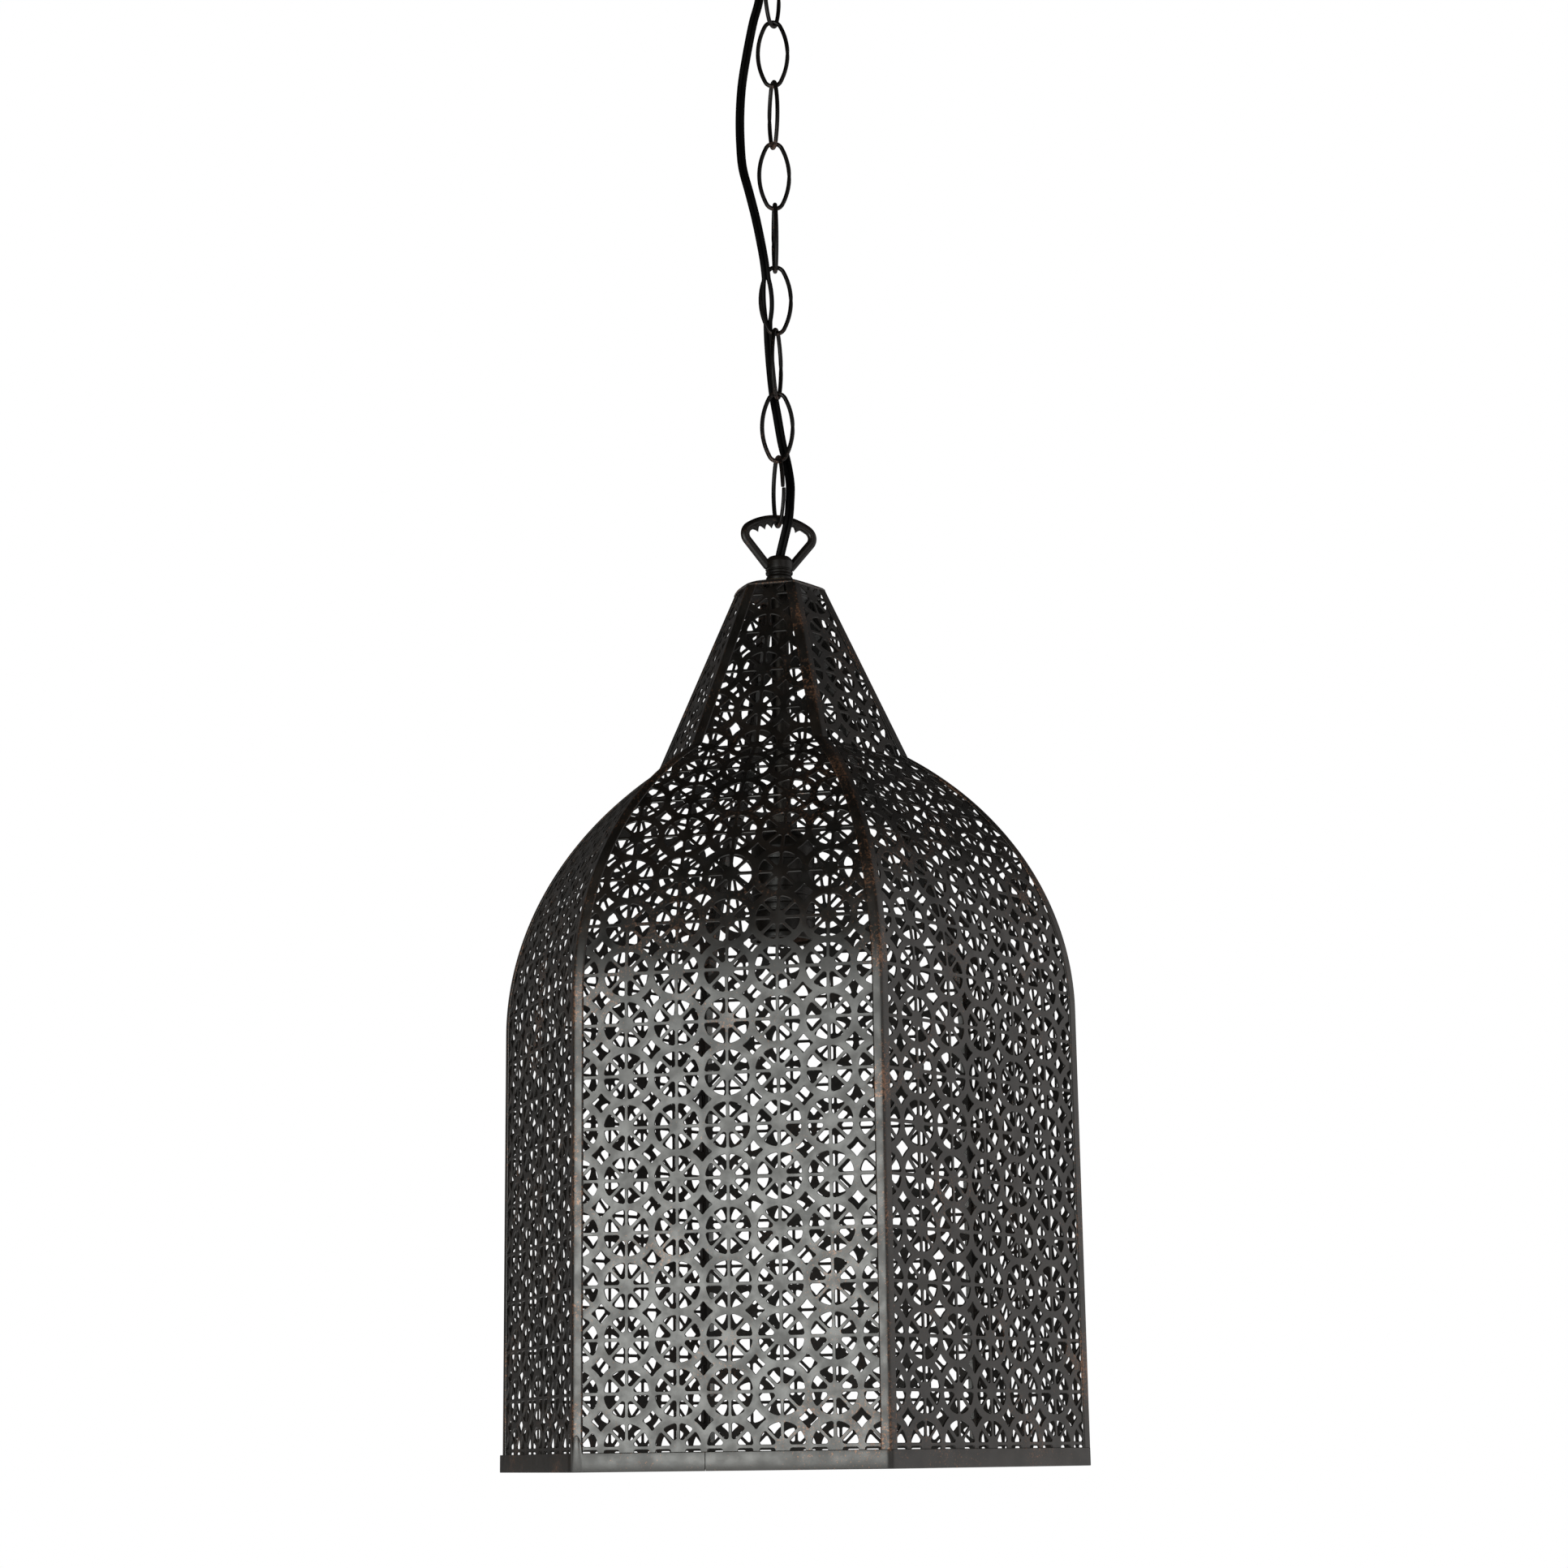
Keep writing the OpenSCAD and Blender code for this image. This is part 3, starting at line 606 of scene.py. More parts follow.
def cell_pattern():
    """One cell's vertices on the face and on the back, its triangles and its cut edges."""
    def build(grow):
        outline, plain = cell_outline(grow)
        loops = [outline]
        for k in range(SPOKES):
            a = math.radians((k + 0.5)*360/SPOKES)
            loops.append([(x*math.cos(a) - y*math.sin(a), x*math.sin(a) + y*math.cos(a))
                          for x, y in petal(grow)])
        return loops, plain

    (wide, plain), (narrow, _) = build(EDGE_ROUND), build(0)
    face = [p for loop in wide for p in loop]
    back = [p for loop in narrow for p in loop]
    edges, cut, first = [], [], 0
    for number, loop in enumerate(wide):
        n = len(loop)
        ring = [(first + i, first + (i + 1) % n) for i in range(n)]
        edges += ring
        quarter = n//4
        # on the outline, the stretches that lie on the cell's border aren't cut
        cut += [e for i, e in enumerate(ring) if number or plain <= i % quarter < quarter - 1]
        first += n
    made = delaunay_2d_cdt([Vector(p) for p in face], edges, [], 0, 1e-7)
    if len(made[0]) != len(face):
        raise RuntimeError("the cell's outline crosses itself")
    order = [o[0] for o in made[3]]
    metal = []
    for f in made[2]:
        x, y = np.mean([made[0][i] for i in f], axis=0)
        if in_metal(x, y):
            metal.append([order[i] for i in f])
    return np.array(face), np.array(back), np.array(metal), np.array(cut)


def in_metal(x, y):
    """Whether the middle of a triangle, in the cell's face, lies in the metal."""
    r = math.hypot(x, y)
    if abs(x) > 0.5 or abs(y) > 0.5:
        return False
    near_corner, sliver = 0.28, 0.004
    if min(abs(x), abs(y)) > near_corner and r > STAR_ARC - EDGE_ROUND - sliver:
        return False
    hub = TIP_CENTRE - 0.06
    if r > RING_INNER + EDGE_ROUND*0.6 or r < hub:
        return True
    angle = (math.degrees(math.atan2(y, x)) % (360/SPOKES)) - 180/SPOKES
    px, py = r*math.cos(math.radians(angle)), r*math.sin(math.radians(angle))
    return not inside_outline(px, py, petal(EDGE_ROUND))


def inside_outline(x, y, points):
    inside = False
    for (x0, y0), (x1, y1) in zip(points, points[1:] + points[:1]):
        if (y0 > y) != (y1 > y) and x < x0 + (y - y0)*(x1 - x0)/(y1 - y0):
            inside = not inside
    return inside


def pierced_sheet():
    """The mesh of one pierced side, number 0: stamped flat, bent to the profile and mitred."""
    face, back, metal, cut = cell_pattern()
    n = len(face)
    verts, faces, first = [], [], 0
    for row in range(ROWS):
        t_row = (FIRST_ROW + row)*PITCH
        widest = profile(max(0.0, t_row - PITCH/2))[0]*MITRE
        for column in range(-COLUMNS, COLUMNS + 1):
            if (abs(column) - 0.5)*PITCH > widest:
                continue
            for flat, depth in ((face, 0.0), (back, EDGE_ROUND*PITCH), (back, SHEET_T)):
                verts.append(np.column_stack([(column + flat[:, 0])*PITCH, t_row + flat[:, 1]*PITCH,
                                              np.full(n, -depth)]))
            low = first + 2*n
            faces += (metal + first).tolist() + (metal[:, ::-1] + low).tolist()
            for top in (first, first + n):
                a, b = cut[:, 0] + top, cut[:, 1] + top
                faces += np.stack([b, a, a + n, b + n], axis=1).tolist()
            first += 3*n
    mesh = bpy.data.meshes.new("pierced_sheet")
    mesh.from_pydata(np.concatenate(verts).tolist(), [], faces)
    bm = bmesh.new()
    bm.from_mesh(mesh)
    bmesh.ops.delete(bm, geom=[v for v in bm.verts if not v.link_faces], context="VERTS")
    bmesh.ops.remove_doubles(bm, verts=bm.verts, dist=2e-6)
    bmesh.ops.bisect_plane(bm, geom=bm.verts[:] + bm.edges[:] + bm.faces[:], dist=1e-8,
                           plane_co=(0, t_fold, 0), plane_no=(0, 1, 0))
    inside = bm.verts.layers.float.new("inside")
    stamped = np.array([v.co for v in bm.verts])
    for v, place in zip(bm.verts, on_side(0, stamped[:, 0], stamped[:, 1], stamped[:, 2])):
        v[inside] = -v.co.z/SHEET_T
        v.co = place
    above_rim, mitre_gap = 0.4*MM, 0.05*MM
    trims = [((0, 0, RIM + above_rim), (0, 0, -1)), ((0, 0, RIM + NECK_TOP), (0, 0, 1))]
    for s in (1, -1):
        turn = math.radians(180 + 30*s)
        normal = Vector((s*math.cos(turn), s*math.sin(turn), 0))
        trims.append((-mitre_gap*normal, normal))
    for point, normal in trims:
        done = bmesh.ops.bisect_plane(bm, geom=bm.verts[:] + bm.edges[:] + bm.faces[:], dist=1e-8,
                                      plane_co=point, plane_no=normal, clear_outer=True)
        rim = [e for e in done["geom_cut"]
               if isinstance(e, bmesh.types.BMEdge) and e.is_boundary]
        bmesh.ops.holes_fill(bm, edges=rim, sides=0)
    bmesh.ops.recalc_face_normals(bm, faces=bm.faces)
    bm.to_mesh(mesh)
    bm.free()
    return mesh


def make_panels():
    mesh = pierced_sheet()
    for side in range(1, SIDES + 1):
        mine = mesh.copy()
        mine.transform(Matrix.Rotation(math.radians(60*side), 4, "Z"))
        obj = add_object(f"pierced_side_{side}", mine, 30)
        piece(obj, "lantern", SHEET, f"panel_{side}")


make_panels()

# --- corner strips and band
STRIP_W = 4.7*MM
STRIP_T = 0.8*MM
BAND_H = 9*MM
BAND_T = 1.2*MM


def strip_point(side, sign, inset, off, t):
    """Points of the strip over a corner, inset from the corner along one of its two sides."""
    a, _ = profile(t)
    na, _ = facing(t)
    return on_side(side, sign*((a + off*na)*MITRE - inset), t, off)


def corner_strip(side):
    """The folded strip between this side and the next."""
    fold_low, fold_high = t_fold - 2*MM, t_fold + 2*MM
    t = np.concatenate([
        np.linspace(BAND_H, STRAIGHT, 24)[:-1], np.linspace(STRAIGHT, fold_low, 44)[:-1],
        np.linspace(fold_low, fold_high, 7)[:-1], np.linspace(fold_high, t_top, 16)])
    lip, clear = 0.22*MM, 0.02*MM
    half = [  # inset from the corner, distance off the sheet, how worn
        (STRIP_W - lip, clear, 0.1), (STRIP_W, lip, 0.4), (STRIP_W, STRIP_T - lip, 0.5),
        (STRIP_W - lip, STRIP_T, 0.5), (STRIP_W - 3*lip, STRIP_T, 0.35), (2.2*MM, STRIP_T, 0.35),
        (1.2*MM, STRIP_T - 0.01*MM, 0.45), (0.55*MM, STRIP_T - 0.08*MM, 0.55)]
    ridge = 0.12*MM, STRIP_T - 0.16*MM
    columns = [strip_point(side, 1, inset, off, t) for inset, off, _ in half]
    columns.append((strip_point(side, 1, *ridge, t) + strip_point(side + 1, -1, *ridge, t))/2)
    columns += [strip_point(side + 1, -1, inset, off, t) for inset, off, _ in reversed(half)]
    columns.append(strip_point(side, 1, 0.0, clear, t))
    worn = [w for _, _, w in half]
    wear = [*worn, 0.65, *reversed(worn), 0.2]
    rings = [list(r) for r in np.stack(columns, axis=1)]
    verts, faces = tube(rings)
    obj = solid(f"corner_strip_{side}", verts, faces, wear*len(t), 40)
    piece(obj, "lantern", STRIP, f"rib_{side}")


def bottom_band():
    """The flat band round the lower edge, open at its seam. It stands off one side a little, and
    beside the corner there its edge stands up as a rounded tongue over the corner strip."""
    bend, standoff, seam, gap = 3.6*MM, 1.3*MM, -12*MM, 0.2*MM
    loose_corners = 4, 5
    mid = FACE + BAND_T/2
    corner = mid/math.cos(math.radians(30))
    path = [np.array([seam + gap, -mid])]
    for k in range(SIDES):
        a = math.radians(-60 + 60*k)
        centre = np.array([math.cos(a), math.sin(a)])*(corner - bend/math.cos(math.radians(30)))
        if k in loose_corners:
            centre[0] -= standoff
        path += [centre + bend*np.array([math.cos(b), math.sin(b)])
                 for b in np.radians(np.linspace(-30, 30, 9)) + a]
    path.append(np.array([seam - gap, -mid]))
    tongue_x, tongue_half, tongue_h = -corner/2 + 1.9*MM, 2.7*MM, 8.4*MM
    step, coarse = 0.45*MM, 8
    line = [path[0]]
    for p, q in zip(path, path[1:]):
        steps = max(1, int(np.linalg.norm(q - p)/step))
        for i in range(1, steps + 1):
            point = p + (q - p)*i/steps
            at_tongue = p[1] < -corner/2 and abs(point[0] - tongue_x) < 4*MM
            if i == steps or i % coarse == 0 or at_tongue:
                line.append(point)
    line = np.array([(x, y, 0) for x, y in line])
    w = BAND_T/2 - 0.02*MM
    outline = rounded([(-w, 0), (w, 0), (w, BAND_H), (-w, BAND_H)], 0.35*MM, 3)
    lift = [tongue_h*math.sqrt(max(0.0, 1 - ((x - tongue_x)/tongue_half)**2))
            if y < -mid + BAND_T else 0.0 for x, y, _ in line]

    def section(i):
        return [(u, RIM + z + (lift[i] if z > BAND_H/2 else 0.0)) for u, z in outline]

    edge = 1.1*MM
    wear = [0.5 + 0.3*max(0.0, 1 - min(z, BAND_H - z)/edge) if u > 0 else 0.2 for u, z in outline]
    verts, faces = tube(planar_rings(line, (0, 0, 1), section))
    obj = solid("bottom_band_strip", verts, faces, wear*len(line))
    piece(obj, "lantern", STRIP, "bottom_band")


for number in range(1, SIDES + 1):
    corner_strip(number)
bottom_band()

# --- chain
WIRE = 2.4*MM
LINK_L = 42*MM
LINK_W = 19.4*MM
LINK_END_R = 5*MM
LINK_TURN = [120, 12, 86, 14, 108, 16, 118, 8, 75]   # each link's heading, from the lowest up
LINK_GAP = 0.12*MM          # the closed links' butt joint
OPENED = 1                  # the link that has been bent open a little, at the hanger
OPENED_GAP = 0.7*MM
OPENED_SHIFT = 0.55*MM      # how far its wire's end stands out sideways


def link_line(gap):
    """The wire's line in the link's own plane (across, up), from its joint round to its joint."""
    half_l, half_w = (LINK_L - WIRE)/2, (LINK_W - WIRE)/2
    end_z = half_l - LINK_END_R
    side_r = (half_w**2 + end_z**2 - LINK_END_R**2)/(2*(half_w - LINK_END_R))
    a = math.degrees(math.asin(end_z/(side_r - LINK_END_R)))
    g = math.degrees(gap/2/side_r)
    c = half_w - side_r
    return np.array(arc(c, 0, side_r, g, a, 10)[:-1]
                    + arc(0, end_z, LINK_END_R, a, 180 - a, 20)[:-1]
                    + arc(-c, 0, side_r, 180 - a, 180 + a, 20)[:-1]
                    + arc(0, -end_z, LINK_END_R, 180 + a, 360 - a, 20)[:-1]
                    + arc(c, 0, side_r, -a, -g, 10))


def make_link(k):
    low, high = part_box(f"link_{k}")
    centre = np.array([0, 0, (low.z + high.z)/2])
    across, normal = upright_plane(LINK_TURN[k - 1])
    opened = k == OPENED
    flat = link_line(OPENED_GAP if opened else LINK_GAP)
    if opened:
        flat[:, 0] *= -1
    count = len(flat)
    line = [centre + x*across + np.array([0, 0, z]) for x, z in flat]
    taper = [1.0]*count
    for i, f in enumerate((0.86, 0.96)):
        taper[i] = taper[count - 1 - i] = f
    if opened:
        bent, thinned = 14, 18      # points from the wire's end
        for i in range(count):
            tail = max(0.0, 1 - (count - 1 - i)/bent)
            line[i] = line[i] + normal*OPENED_SHIFT*tail*tail*(3 - 2*tail)
        for i in range(thinned):
            taper[count - 1 - i] = min(taper[count - 1 - i], 0.9)
    verts, faces = tube(planar_rings(line, normal, lambda i: circle(WIRE/2*taper[i], 16)))
    reach, rubbed_from = LINK_L/2, 0.78
    wear = [0.25 + 0.75*np.clip((abs(p[2] - centre[2])/reach - rubbed_from)/(1 - rubbed_from), 0, 1)
            for p in verts]
    obj = solid(f"chain_oval_{k}", verts, faces, wear, 50)
    piece(obj, f"chain_link_{k}", CHAIN, f"link_{k}")


for number in range(1, LINKS + 1):
    make_link(number)


# --- hanger loop, plate and washer
BAR = 4*MM
SHOULDER_X, SHOULDER_Z, SHOULDER_R = 13.9*MM, -9.2*MM, 5*MM     # from the middle of the top bar
FOOT_X, FOOT_Z = 6*MM, 9*MM               # where a leg starts, from the collar's lower end
SPINE = 1.0*MM                            # how much thicker the bar is on its outer side
LOOP_TURN = 30
TEETH = [-14, -9.4, -4.8, 6.6, 11.2]      # along the top bar, in millimetres
TOOTH_H = 2.8*MM
TOOTH_HALF = 2.0*MM
OUTWARD = -1                              # the sign of the section's outer side
COLLAR = [    # radius, height above its lower end, and corner radius, in millimetres
    (5.0, 0, 0.1), (7.3, 0, 0.3), (7.4, 2.1, 0.8), (6.6, 3.4, 0.4), (6.6, 3.8, 0.4),
    (7.5, 4.7, 0.6), (7.5, 5.7, 0.5), (7.0, 6.2, 0.2), (7.0, 6.5, 0.2), (7.6, 7.1, 0.4),
    (7.6, 11.2, 2), (7.1, 12.8, 1.4), (5.7, 14.2, 1.0), (4.3, 14.45, 0.4), (4.2, 13.8, 0.1),
    (4.2, 9.2, 0), (5.0, 9.0, 0)
]


def joined_object(name, parts):
    """One object of several closed skins, each given as vertices, faces and wear."""
    verts, faces, wear = [], [], []
    for v, f, w in parts:
        faces += [tuple(i + len(verts) for i in face) for face in f]
        verts += list(v)
        wear += list(w)
    return solid(name, verts, faces, wear, 40)


def turned(outline, segments=96):
    """Vertices and faces turned from a closed outline of (radius, height) in millimetres."""
    rings = [[np.array([r*MM*math.cos(a), r*MM*math.sin(a), z*MM]) for r, z in outline]
             for a in np.linspace(0, 2*math.pi, segments, endpoint=False)]
    return tube(rings, closed=True)


def bail_line():
    """The bar's line in the loop's own plane, from one foot over the top to the other."""
    top_r = (SHOULDER_X**2 + SHOULDER_Z**2 - SHOULDER_R**2)/(2*(-SHOULDER_Z - SHOULDER_R))
    sweep = math.degrees(math.atan2(SHOULDER_X, top_r + SHOULDER_Z))
    foot = np.array([FOOT_X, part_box("hanger_loop")[0].z + FOOT_Z - loop_bar_height()])
    run = np.array([SHOULDER_X, SHOULDER_Z]) - foot
    turn = math.atan2(run[1], run[0]) - math.asin(SHOULDER_R/np.linalg.norm(run))
    top = foot + math.sqrt(run @ run - SHOULDER_R**2)*np.array([math.cos(turn), math.sin(turn)])
    leg = [tuple(foot + (top - foot)*i/14) for i in range(14)]
    shoulder = arc(SHOULDER_X, SHOULDER_Z, SHOULDER_R, math.degrees(turn) - 90, 90 - sweep, 16)
    over = arc(0, -top_r, top_r, 90 - sweep, 90, 46)[1:]
    half = leg + shoulder + over
    return np.array(half + [(-x, z) for x, z in reversed(half[:-1])])


def loop_bar_height():
    """The middle of the loop's top bar."""
    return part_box("hanger_loop")[1].z - BAR/2


def tooth_at(x, z):
    """How far the inner edge stands out at x, as pointed teeth under the top bar."""
    lowest, hollow = -5.5*MM, 1.15
    if z < lowest:
        return 0.0
    return max(TOOTH_H*max(0.0, 1 - abs(x - c*MM)/TOOTH_HALF)**hollow for c in TEETH)


def hanger():
    """The cast loop, toothed under its top bar, and the turned collar that it stands on."""
    flat = bail_line()
    across, normal = upright_plane(LOOP_TURN)
    middle = np.array([0, 0, loop_bar_height()])
    line = [middle + x*across + np.array([0, 0, z]) for x, z in flat]
    shape = circle(BAR/2, 20)

    def section(i):
        x, z = flat[i]
        tooth = tooth_at(x, z)
        out = []
        for u, v in shape:
            inner, outer = max(0.0, -u*OUTWARD)/(BAR/2), max(0.0, u*OUTWARD)/(BAR/2)
            thin = 1 - 0.55*inner**2*tooth/TOOTH_H
            out.append((u - OUTWARD*tooth*inner**3 + OUTWARD*SPINE*outer, v*thin))
        return out

    verts, faces = tube(planar_rings(line, normal, section))
    wear = [min(0.8, 0.2 + 0.4*max(0.0, (p[2] - middle[2])/(BAR/2))) for p in verts]
    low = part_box("hanger_loop")[0].z/MM
    cv, cf = turned([(r, z + low) for r, z in rounded(COLLAR, 0.3, 4)])
    cw = [0.4 if math.hypot(p[0], p[1]) > 7.3*MM else 0.1 for p in cv]
    obj = joined_object("hanger", [(verts, faces, wear), (cv, cf, cw)])
    piece(obj, "lantern", CAST, "hanger_loop")


def top_plate():
    """The pressed hexagonal plate over the neck: a low dome with a round hole for the stem and one
    edge that bulges a little."""
    low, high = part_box("top_plate")
    corner = (high.y - low.y)/2/math.cos(math.radians(30))
    hexagon = [(corner*math.cos(math.radians(60*k)), corner*math.sin(math.radians(60*k)))
               for k in range(6)]
    ends = [np.array(p) for p in rounded(hexagon, 2.4*MM, 5)]
    outline = [p + (q - p)*i/4 for p, q in zip(ends, ends[1:] + ends[:1]) for i in range(4)]
    thick, edge, hole, flat, bulge = 1.2*MM, 0.35*MM, 5*MM, 10.5*MM, 1.5*MM
    drop = high.z - low.z - thick
    rings, wear = [], []
    for x, y in outline:
        reach, angle = math.hypot(x, y), math.degrees(math.atan2(y, x)) % 360
        d = np.array([x, y])/reach
        if 180 < angle < 240:
            reach += bulge*math.sin(math.radians(3*(angle - 180)))
        dome = [(r, high.z - drop*((r - flat)/(reach - flat))**1.7)
                for r in np.linspace(reach - 3*edge, flat, 9)] + [(hole, high.z)]
        under = [(r, z - thick) for r, z in reversed(dome)]
        rim = [(reach - edge, low.z), (reach, low.z + edge), (reach, low.z + thick - edge),
               (reach - edge, low.z + thick)]
        rings.append([np.array([*(d*r), z]) for r, z in dome + under + rim])
        wear += [0.35]*len(dome) + [0.1]*len(under) + [0.4, 0.8, 0.9, 0.8]
    verts, faces = tube(rings, closed=True)
    obj = solid("neck_plate", verts, faces, wear, 30)
    piece(obj, "lantern", IRON, "top_plate")


def turned_piece(name, outline, radius, body, material, node, at=(0, 0, 0)):
    verts, faces = turned(rounded(outline, radius))
    obj = solid(name, [v + np.array(at) for v in verts], faces)
    piece(obj, body, material, node)


def washer():
    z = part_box("brass_washer")[0].z/MM
    turned_piece("thin_washer", [(5, z), (10, z), (10, z + 1.2), (5, z + 1.2)], 0.3, "lantern",
                 WASHER, "brass_washer")


hanger()
top_plate()
washer()


# --- lampholder
def holder():
    """The lampholder's ribbed skirt and its domed cap."""
    low, top = (corner.z/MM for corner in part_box("holder_body"))
    ribs = []
    for k in range(5):
        z = low + 7 + 4.4*k
        ribs += [(17.0, z, 0.3), (17.0, z + 2.9, 0.3), (16.6, z + 3.3, 0.2), (16.6, z + 3.9, 0.2)]
    turned_piece("holder_skirt", [
        (14.7, low, 0.4), (18, low, 0.7), (18, low + 2.8, 0.9), (17, low + 4, 0.5), *ribs,
        (17, top - 8, 0.4), (17, top, 0.5), (15.8, top, 0.2), (15.8, top - 5.5, 0.2),
        (14.7, top - 7.5, 0.2)], 0.3, "lantern", BAKELITE, "holder_body")
    low, top = (corner.z/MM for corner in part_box("holder_cap"))
    turned_piece("holder_dome", [
        (16.0, low, 0.2), (17, low, 0.4), (17, low + 7, 3), (15.4, low + 12.5, 4),
        (9.5, low + 16.4, 3), (8, low + 17.2, 0.8), (8, top, 0.6), (4.9, top, 0.2),
        (4.9, low + (top - low)*0.72, 0.2), (9, low + 14.4, 2), (14.2, low + 11, 3),
        (16.0, low + 6, 1)], 0.3, "lantern", BAKELITE, "holder_cap")


def rope_thread():
    """The lamp's screw shell: thin brass rolled to a round thread, closed at the top by a ring."""
    low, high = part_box("screw_shell")
    pitch, wave, mid, plain = 3.63*MM, 0.42*MM, 13.3*MM, 1.5*MM
    top = high.z - 0.8*MM
    heights = np.linspace(low.z, top, 66)
    verts, faces, n = [], [], 72
    for off in (0.0, -0.3*MM):
        for z in heights:
            fade = min(1.0, (z - low.z)/plain, (top - z)/plain)
            for j in range(n):
                a = 2*math.pi*j/n
                r = mid + off + wave*fade*math.cos(2*math.pi*z/pitch - a)
                verts.append((r*math.cos(a), r*math.sin(a), z))
    rows = len(heights)
    for layer in (0, 1):
        skin = ring_faces(rows, n, layer*rows*n, False)
        faces += [tuple(reversed(f)) for f in skin] if layer else skin
    for row in (0, rows - 1):
        for j in range(n):
            a, b = row*n + j, row*n + (j + 1) % n
            faces.append((a, b, b + rows*n, a + rows*n))
    first = len(verts)
    base, cover = top/MM + 0.05, top/MM + 0.7
    ring, more = turned([(8, base), (13.2, base), (13.2, cover), (8, cover)], n)
    verts += ring
    faces += [tuple(i + first for i in f) for f in more]
    obj = solid("threaded_shell", verts, faces, smooth_angle=50)
    piece(obj, "lantern", BRASS, "screw_shell")


holder()
rope_thread()


# --- ceiling fitting
def hook_eye():
    """The forged eye under the canopy and its threaded shank."""
    low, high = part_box("hook_eye")
    r, bar = 11.5*MM, 5*MM
    centre = np.array([0, 0, low.z + bar/2 + r])
    across, normal = upright_plane(165)
    line = [centre + r*math.cos(t)*across + np.array([0, 0, r*math.sin(t)])
            for t in np.radians(np.linspace(90, 450, 72, endpoint=False))]
    verts, faces = tube(planar_rings(line, normal, circle(bar/2, 20), closed=True), closed=True)
    wear = [min(1.0, 0.2 + 0.8*max(0.0, (centre[2] - p[2])/r - 0.6)/0.4) for p in verts]
    top, start, thread = high.z/MM, (centre[2] + r)/MM, -44
    shank = [(0.01, start - 1.5, 0), (3.2, start - 1.2, 0.5), (4.4, start + 1.5, 1),
             (4.4, thread - 0.5, 0.2)]
    z = thread
    while z < top - 1.4:
        shank += [(4.0, z, 0.1), (3.55, z + 0.5, 0.1), (4.0, z + 1.0, 0.1)]
        z += 1.0
    shank += [(4.0, top - 0.5, 0), (3.4, top, 0), (0.01, top, 0)]
    sv, sf = turned(rounded(shank, 0.2, 2), 48)
    obj = joined_object("forged_eye", [(verts, faces, wear), (sv, sf, [0.3]*len(sv))])
    piece(obj, "ceiling_fitting", IRON, "hook_eye")


def canopy_fittings():
    """The turned nut under the canopy and the cord's rubber bush."""
    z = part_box("ceiling_canopy")[0].z/MM
    turned_piece("canopy_collar", [
        (4.2, z, 0.1), (11, z, 0.2), (11.2, z - 1.2, 0.5), (10.2, z - 2.4, 0.4),
        (8.6, z - 2.9, 0.4), (8, z - 4.2, 0.7), (5.6, z - 4.8, 0.5), (4.2, z - 4.8, 0.2)],
        0.3, "ceiling_fitting", IRON, "canopy_nut")
    low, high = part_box("cord_grommet")
    turned_piece("cord_bush", [
        (3.25, z - 2.2, 0.5), (5.2, z - 2.2, 0.6), (7, z - 1.2, 0.7), (7, z - 0.05, 0.2),
        (4.85, z - 0.05, 0.1), (4.85, z + 1.3, 0.1), (6.4, z + 1.4, 0.3), (5.6, z + 3.1, 0.5),
        (3.25, z + 3.2, 0.4)], 0.3, "ceiling_fitting", RUBBER, "cord_grommet",
        at=((low.x + high.x)/2, (low.y + high.y)/2, 0))


hook_eye()
canopy_fittings()

# --- parts that stay as the CAD drew them, with softened edges
KEPT = {
    "ceiling_canopy": IRON, "mounting_bracket": ZINC, "bracket_nut": ZINC, "terminal_block": NYLON,
    "terminal_screws": BRASS, "stem_tube": STEEL, "lock_washer": STEEL, "stem_nut": STEEL,
    "holder_nut": STEEL, "holder_base": PORCELAIN, "shell_liner": FIBRE, "centre_contact": BRASS,
    "contact_screws": BRASS, "core_leads": VINYL,
}
EDGE = 0.25*MM


def keep_nodes():
    for name, material in KEPT.items():
        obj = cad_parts[name]
        for s in obj.material_slots:
            s.material = material
        edge = obj.modifiers.new("edge", "BEVEL")
        edge.width = EDGE
        edge.segments = 2
        edge.limit_method = "ANGLE"
        edge.angle_limit = math.radians(40)


keep_nodes()


# --- stage, light and finish
def soft_light(name, place, aim, size, power, colour=(1, 1, 1)):
    data = bpy.data.lights.new(name, "AREA")
    data.shape = "RECTANGLE"
    data.size, data.size_y = size
    data.energy = power
    data.color = colour
    lamp = bpy.data.objects.new(name, data)
    SCENE.collection.objects.link(lamp)
    lamp.location = place
    lamp.rotation_mode = "QUATERNION"
    lamp.rotation_quaternion = (Vector(aim) - Vector(place)).to_track_quat("-Z", "Y")
    lamp.visible_camera = False


FLOOR_Z = RIM - 1.2
FLOOR_REACH = 4


def make_stage():
    mesh = bpy.data.meshes.new("floor")
    mesh.from_pydata([(x*FLOOR_REACH, y*FLOOR_REACH, FLOOR_Z)
                      for x, y in ((-1, -1), (1, -1), (1, 1), (-1, 1))], [], [(0, 1, 2, 3)])
    floor = bpy.data.objects.new("floor", mesh)
    SCENE.collection.objects.link(floor)
    mat, _, shader = node_tree("floor")
    shader.inputs["Base Color"].default_value = (0.85, 0.85, 0.84, 1)
    shader.inputs["Roughness"].default_value = 0.9
    mesh.materials.append(mat)


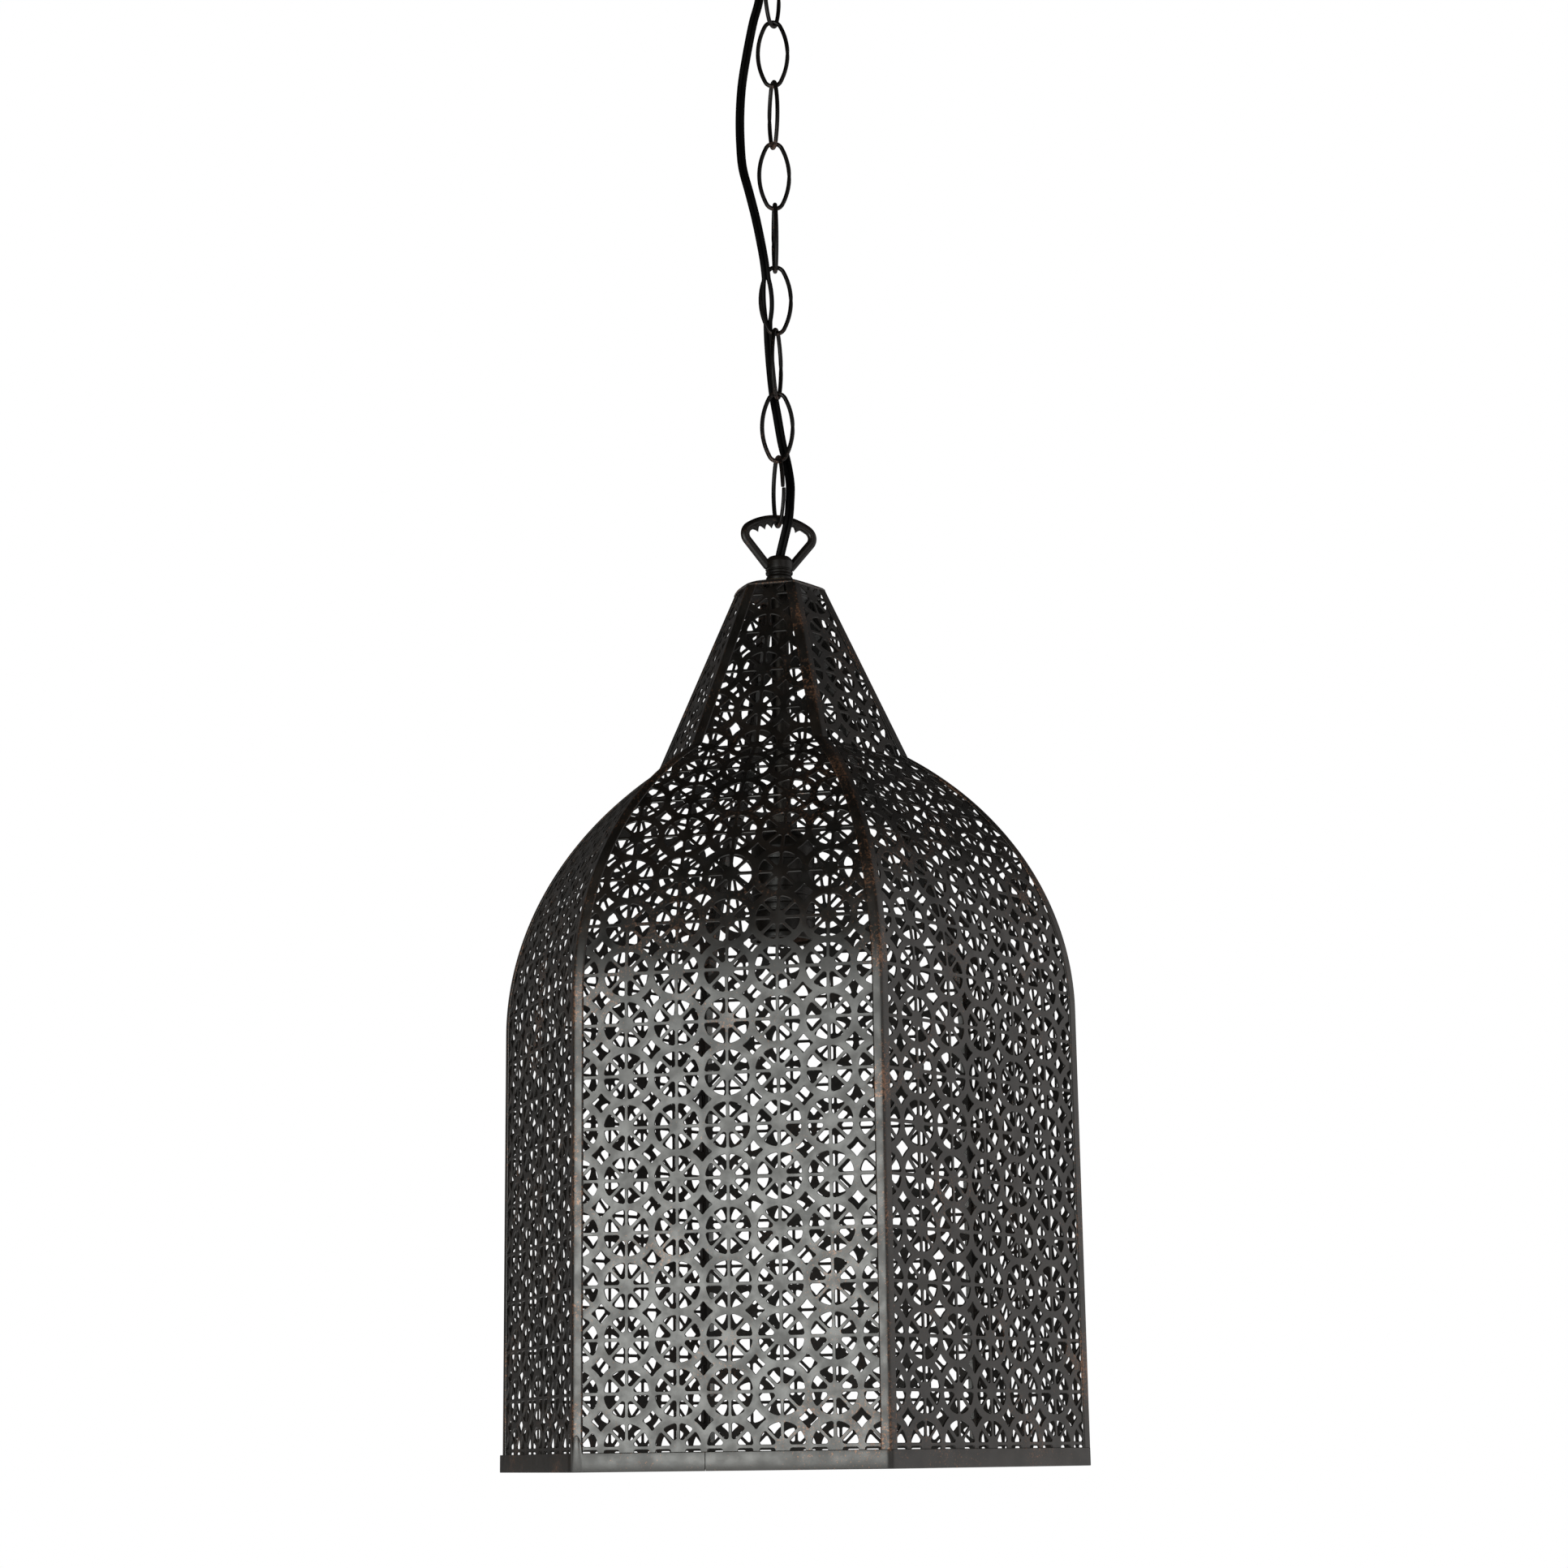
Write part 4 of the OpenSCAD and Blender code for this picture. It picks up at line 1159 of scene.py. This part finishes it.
ROOM = 0.008                    # how bright the room is that the metal mirrors
ROOM_COLOUR = (1.0, 0.965, 0.94, 1)
GLOWS = [   # direction, strength, and how many degrees from it the glow is full and gone
    ((0.93, 0.3, 0.05), 0.8, 12, 44),
    ((-0.8, 0.55, 0.05), 0.115, 12, 45),
    ((0.1, 0.75, 0.6), 0.035, 10, 45),
    ((0.72, -0.66, 0.2), 1.2, 6, 18),
]


def make_world():
    """White behind the object; what the metal mirrors is a dark room with a few soft glows."""
    world = bpy.data.worlds.new("studio")
    world.use_nodes = True
    tree = world.node_tree
    tree.nodes.clear()

    def node(kind):
        return tree.nodes.new("ShaderNode" + kind)

    direction = node("TexCoord").outputs["Generated"]
    total = None
    for centre, strength, inner, outer in GLOWS:
        dot, ramp, add = node("VectorMath"), node("MapRange"), node("Math")
        dot.operation = "DOT_PRODUCT"
        dot.inputs[1].default_value = unit(np.array(centre))
        tree.links.new(direction, dot.inputs[0])
        tree.links.new(dot.outputs["Value"], ramp.inputs["Value"])
        ramp.interpolation_type = "SMOOTHSTEP"
        span = math.cos(math.radians(outer)), math.cos(math.radians(inner))
        for key, v in zip(RANGE_SOCKETS, (*span, 0.0, strength)):
            ramp.inputs[key].default_value = v
        tree.links.new(ramp.outputs["Result"], add.inputs[0])
        add.inputs[1].default_value = ROOM      # only the first sum uses this
        if total:
            tree.links.new(total, add.inputs[1])
        total = add.outputs["Value"]
    room, white, choice, seen, out = (node(kind) for kind in (
        "Background", "Background", "MixShader", "LightPath", "OutputWorld"))
    tree.links.new(total, room.inputs["Strength"])
    tree.links.new(seen.outputs["Is Camera Ray"], choice.inputs["Fac"])
    tree.links.new(room.outputs["Background"], choice.inputs[1])
    tree.links.new(white.outputs["Background"], choice.inputs[2])
    tree.links.new(choice.outputs["Shader"], out.inputs["Surface"])
    room.inputs["Color"].default_value = ROOM_COLOUR
    white.inputs["Color"].default_value = (1, 1, 1, 1)
    SCENE.world = world
    SCENE.view_settings.view_transform = "Standard"


make_stage()
make_world()
soft_light("front_box", (-0.62, -2.4, RIM + 0.2), aim=(0, 0, RIM + 0.2), size=(1.3, 0.84),
           power=27.5, colour=(0.98, 1.0, 0.96))
soft_light("floor_wash", (0, 0, RIM - 0.5), aim=(0, 0, FLOOR_Z), size=(10, 10), power=270)
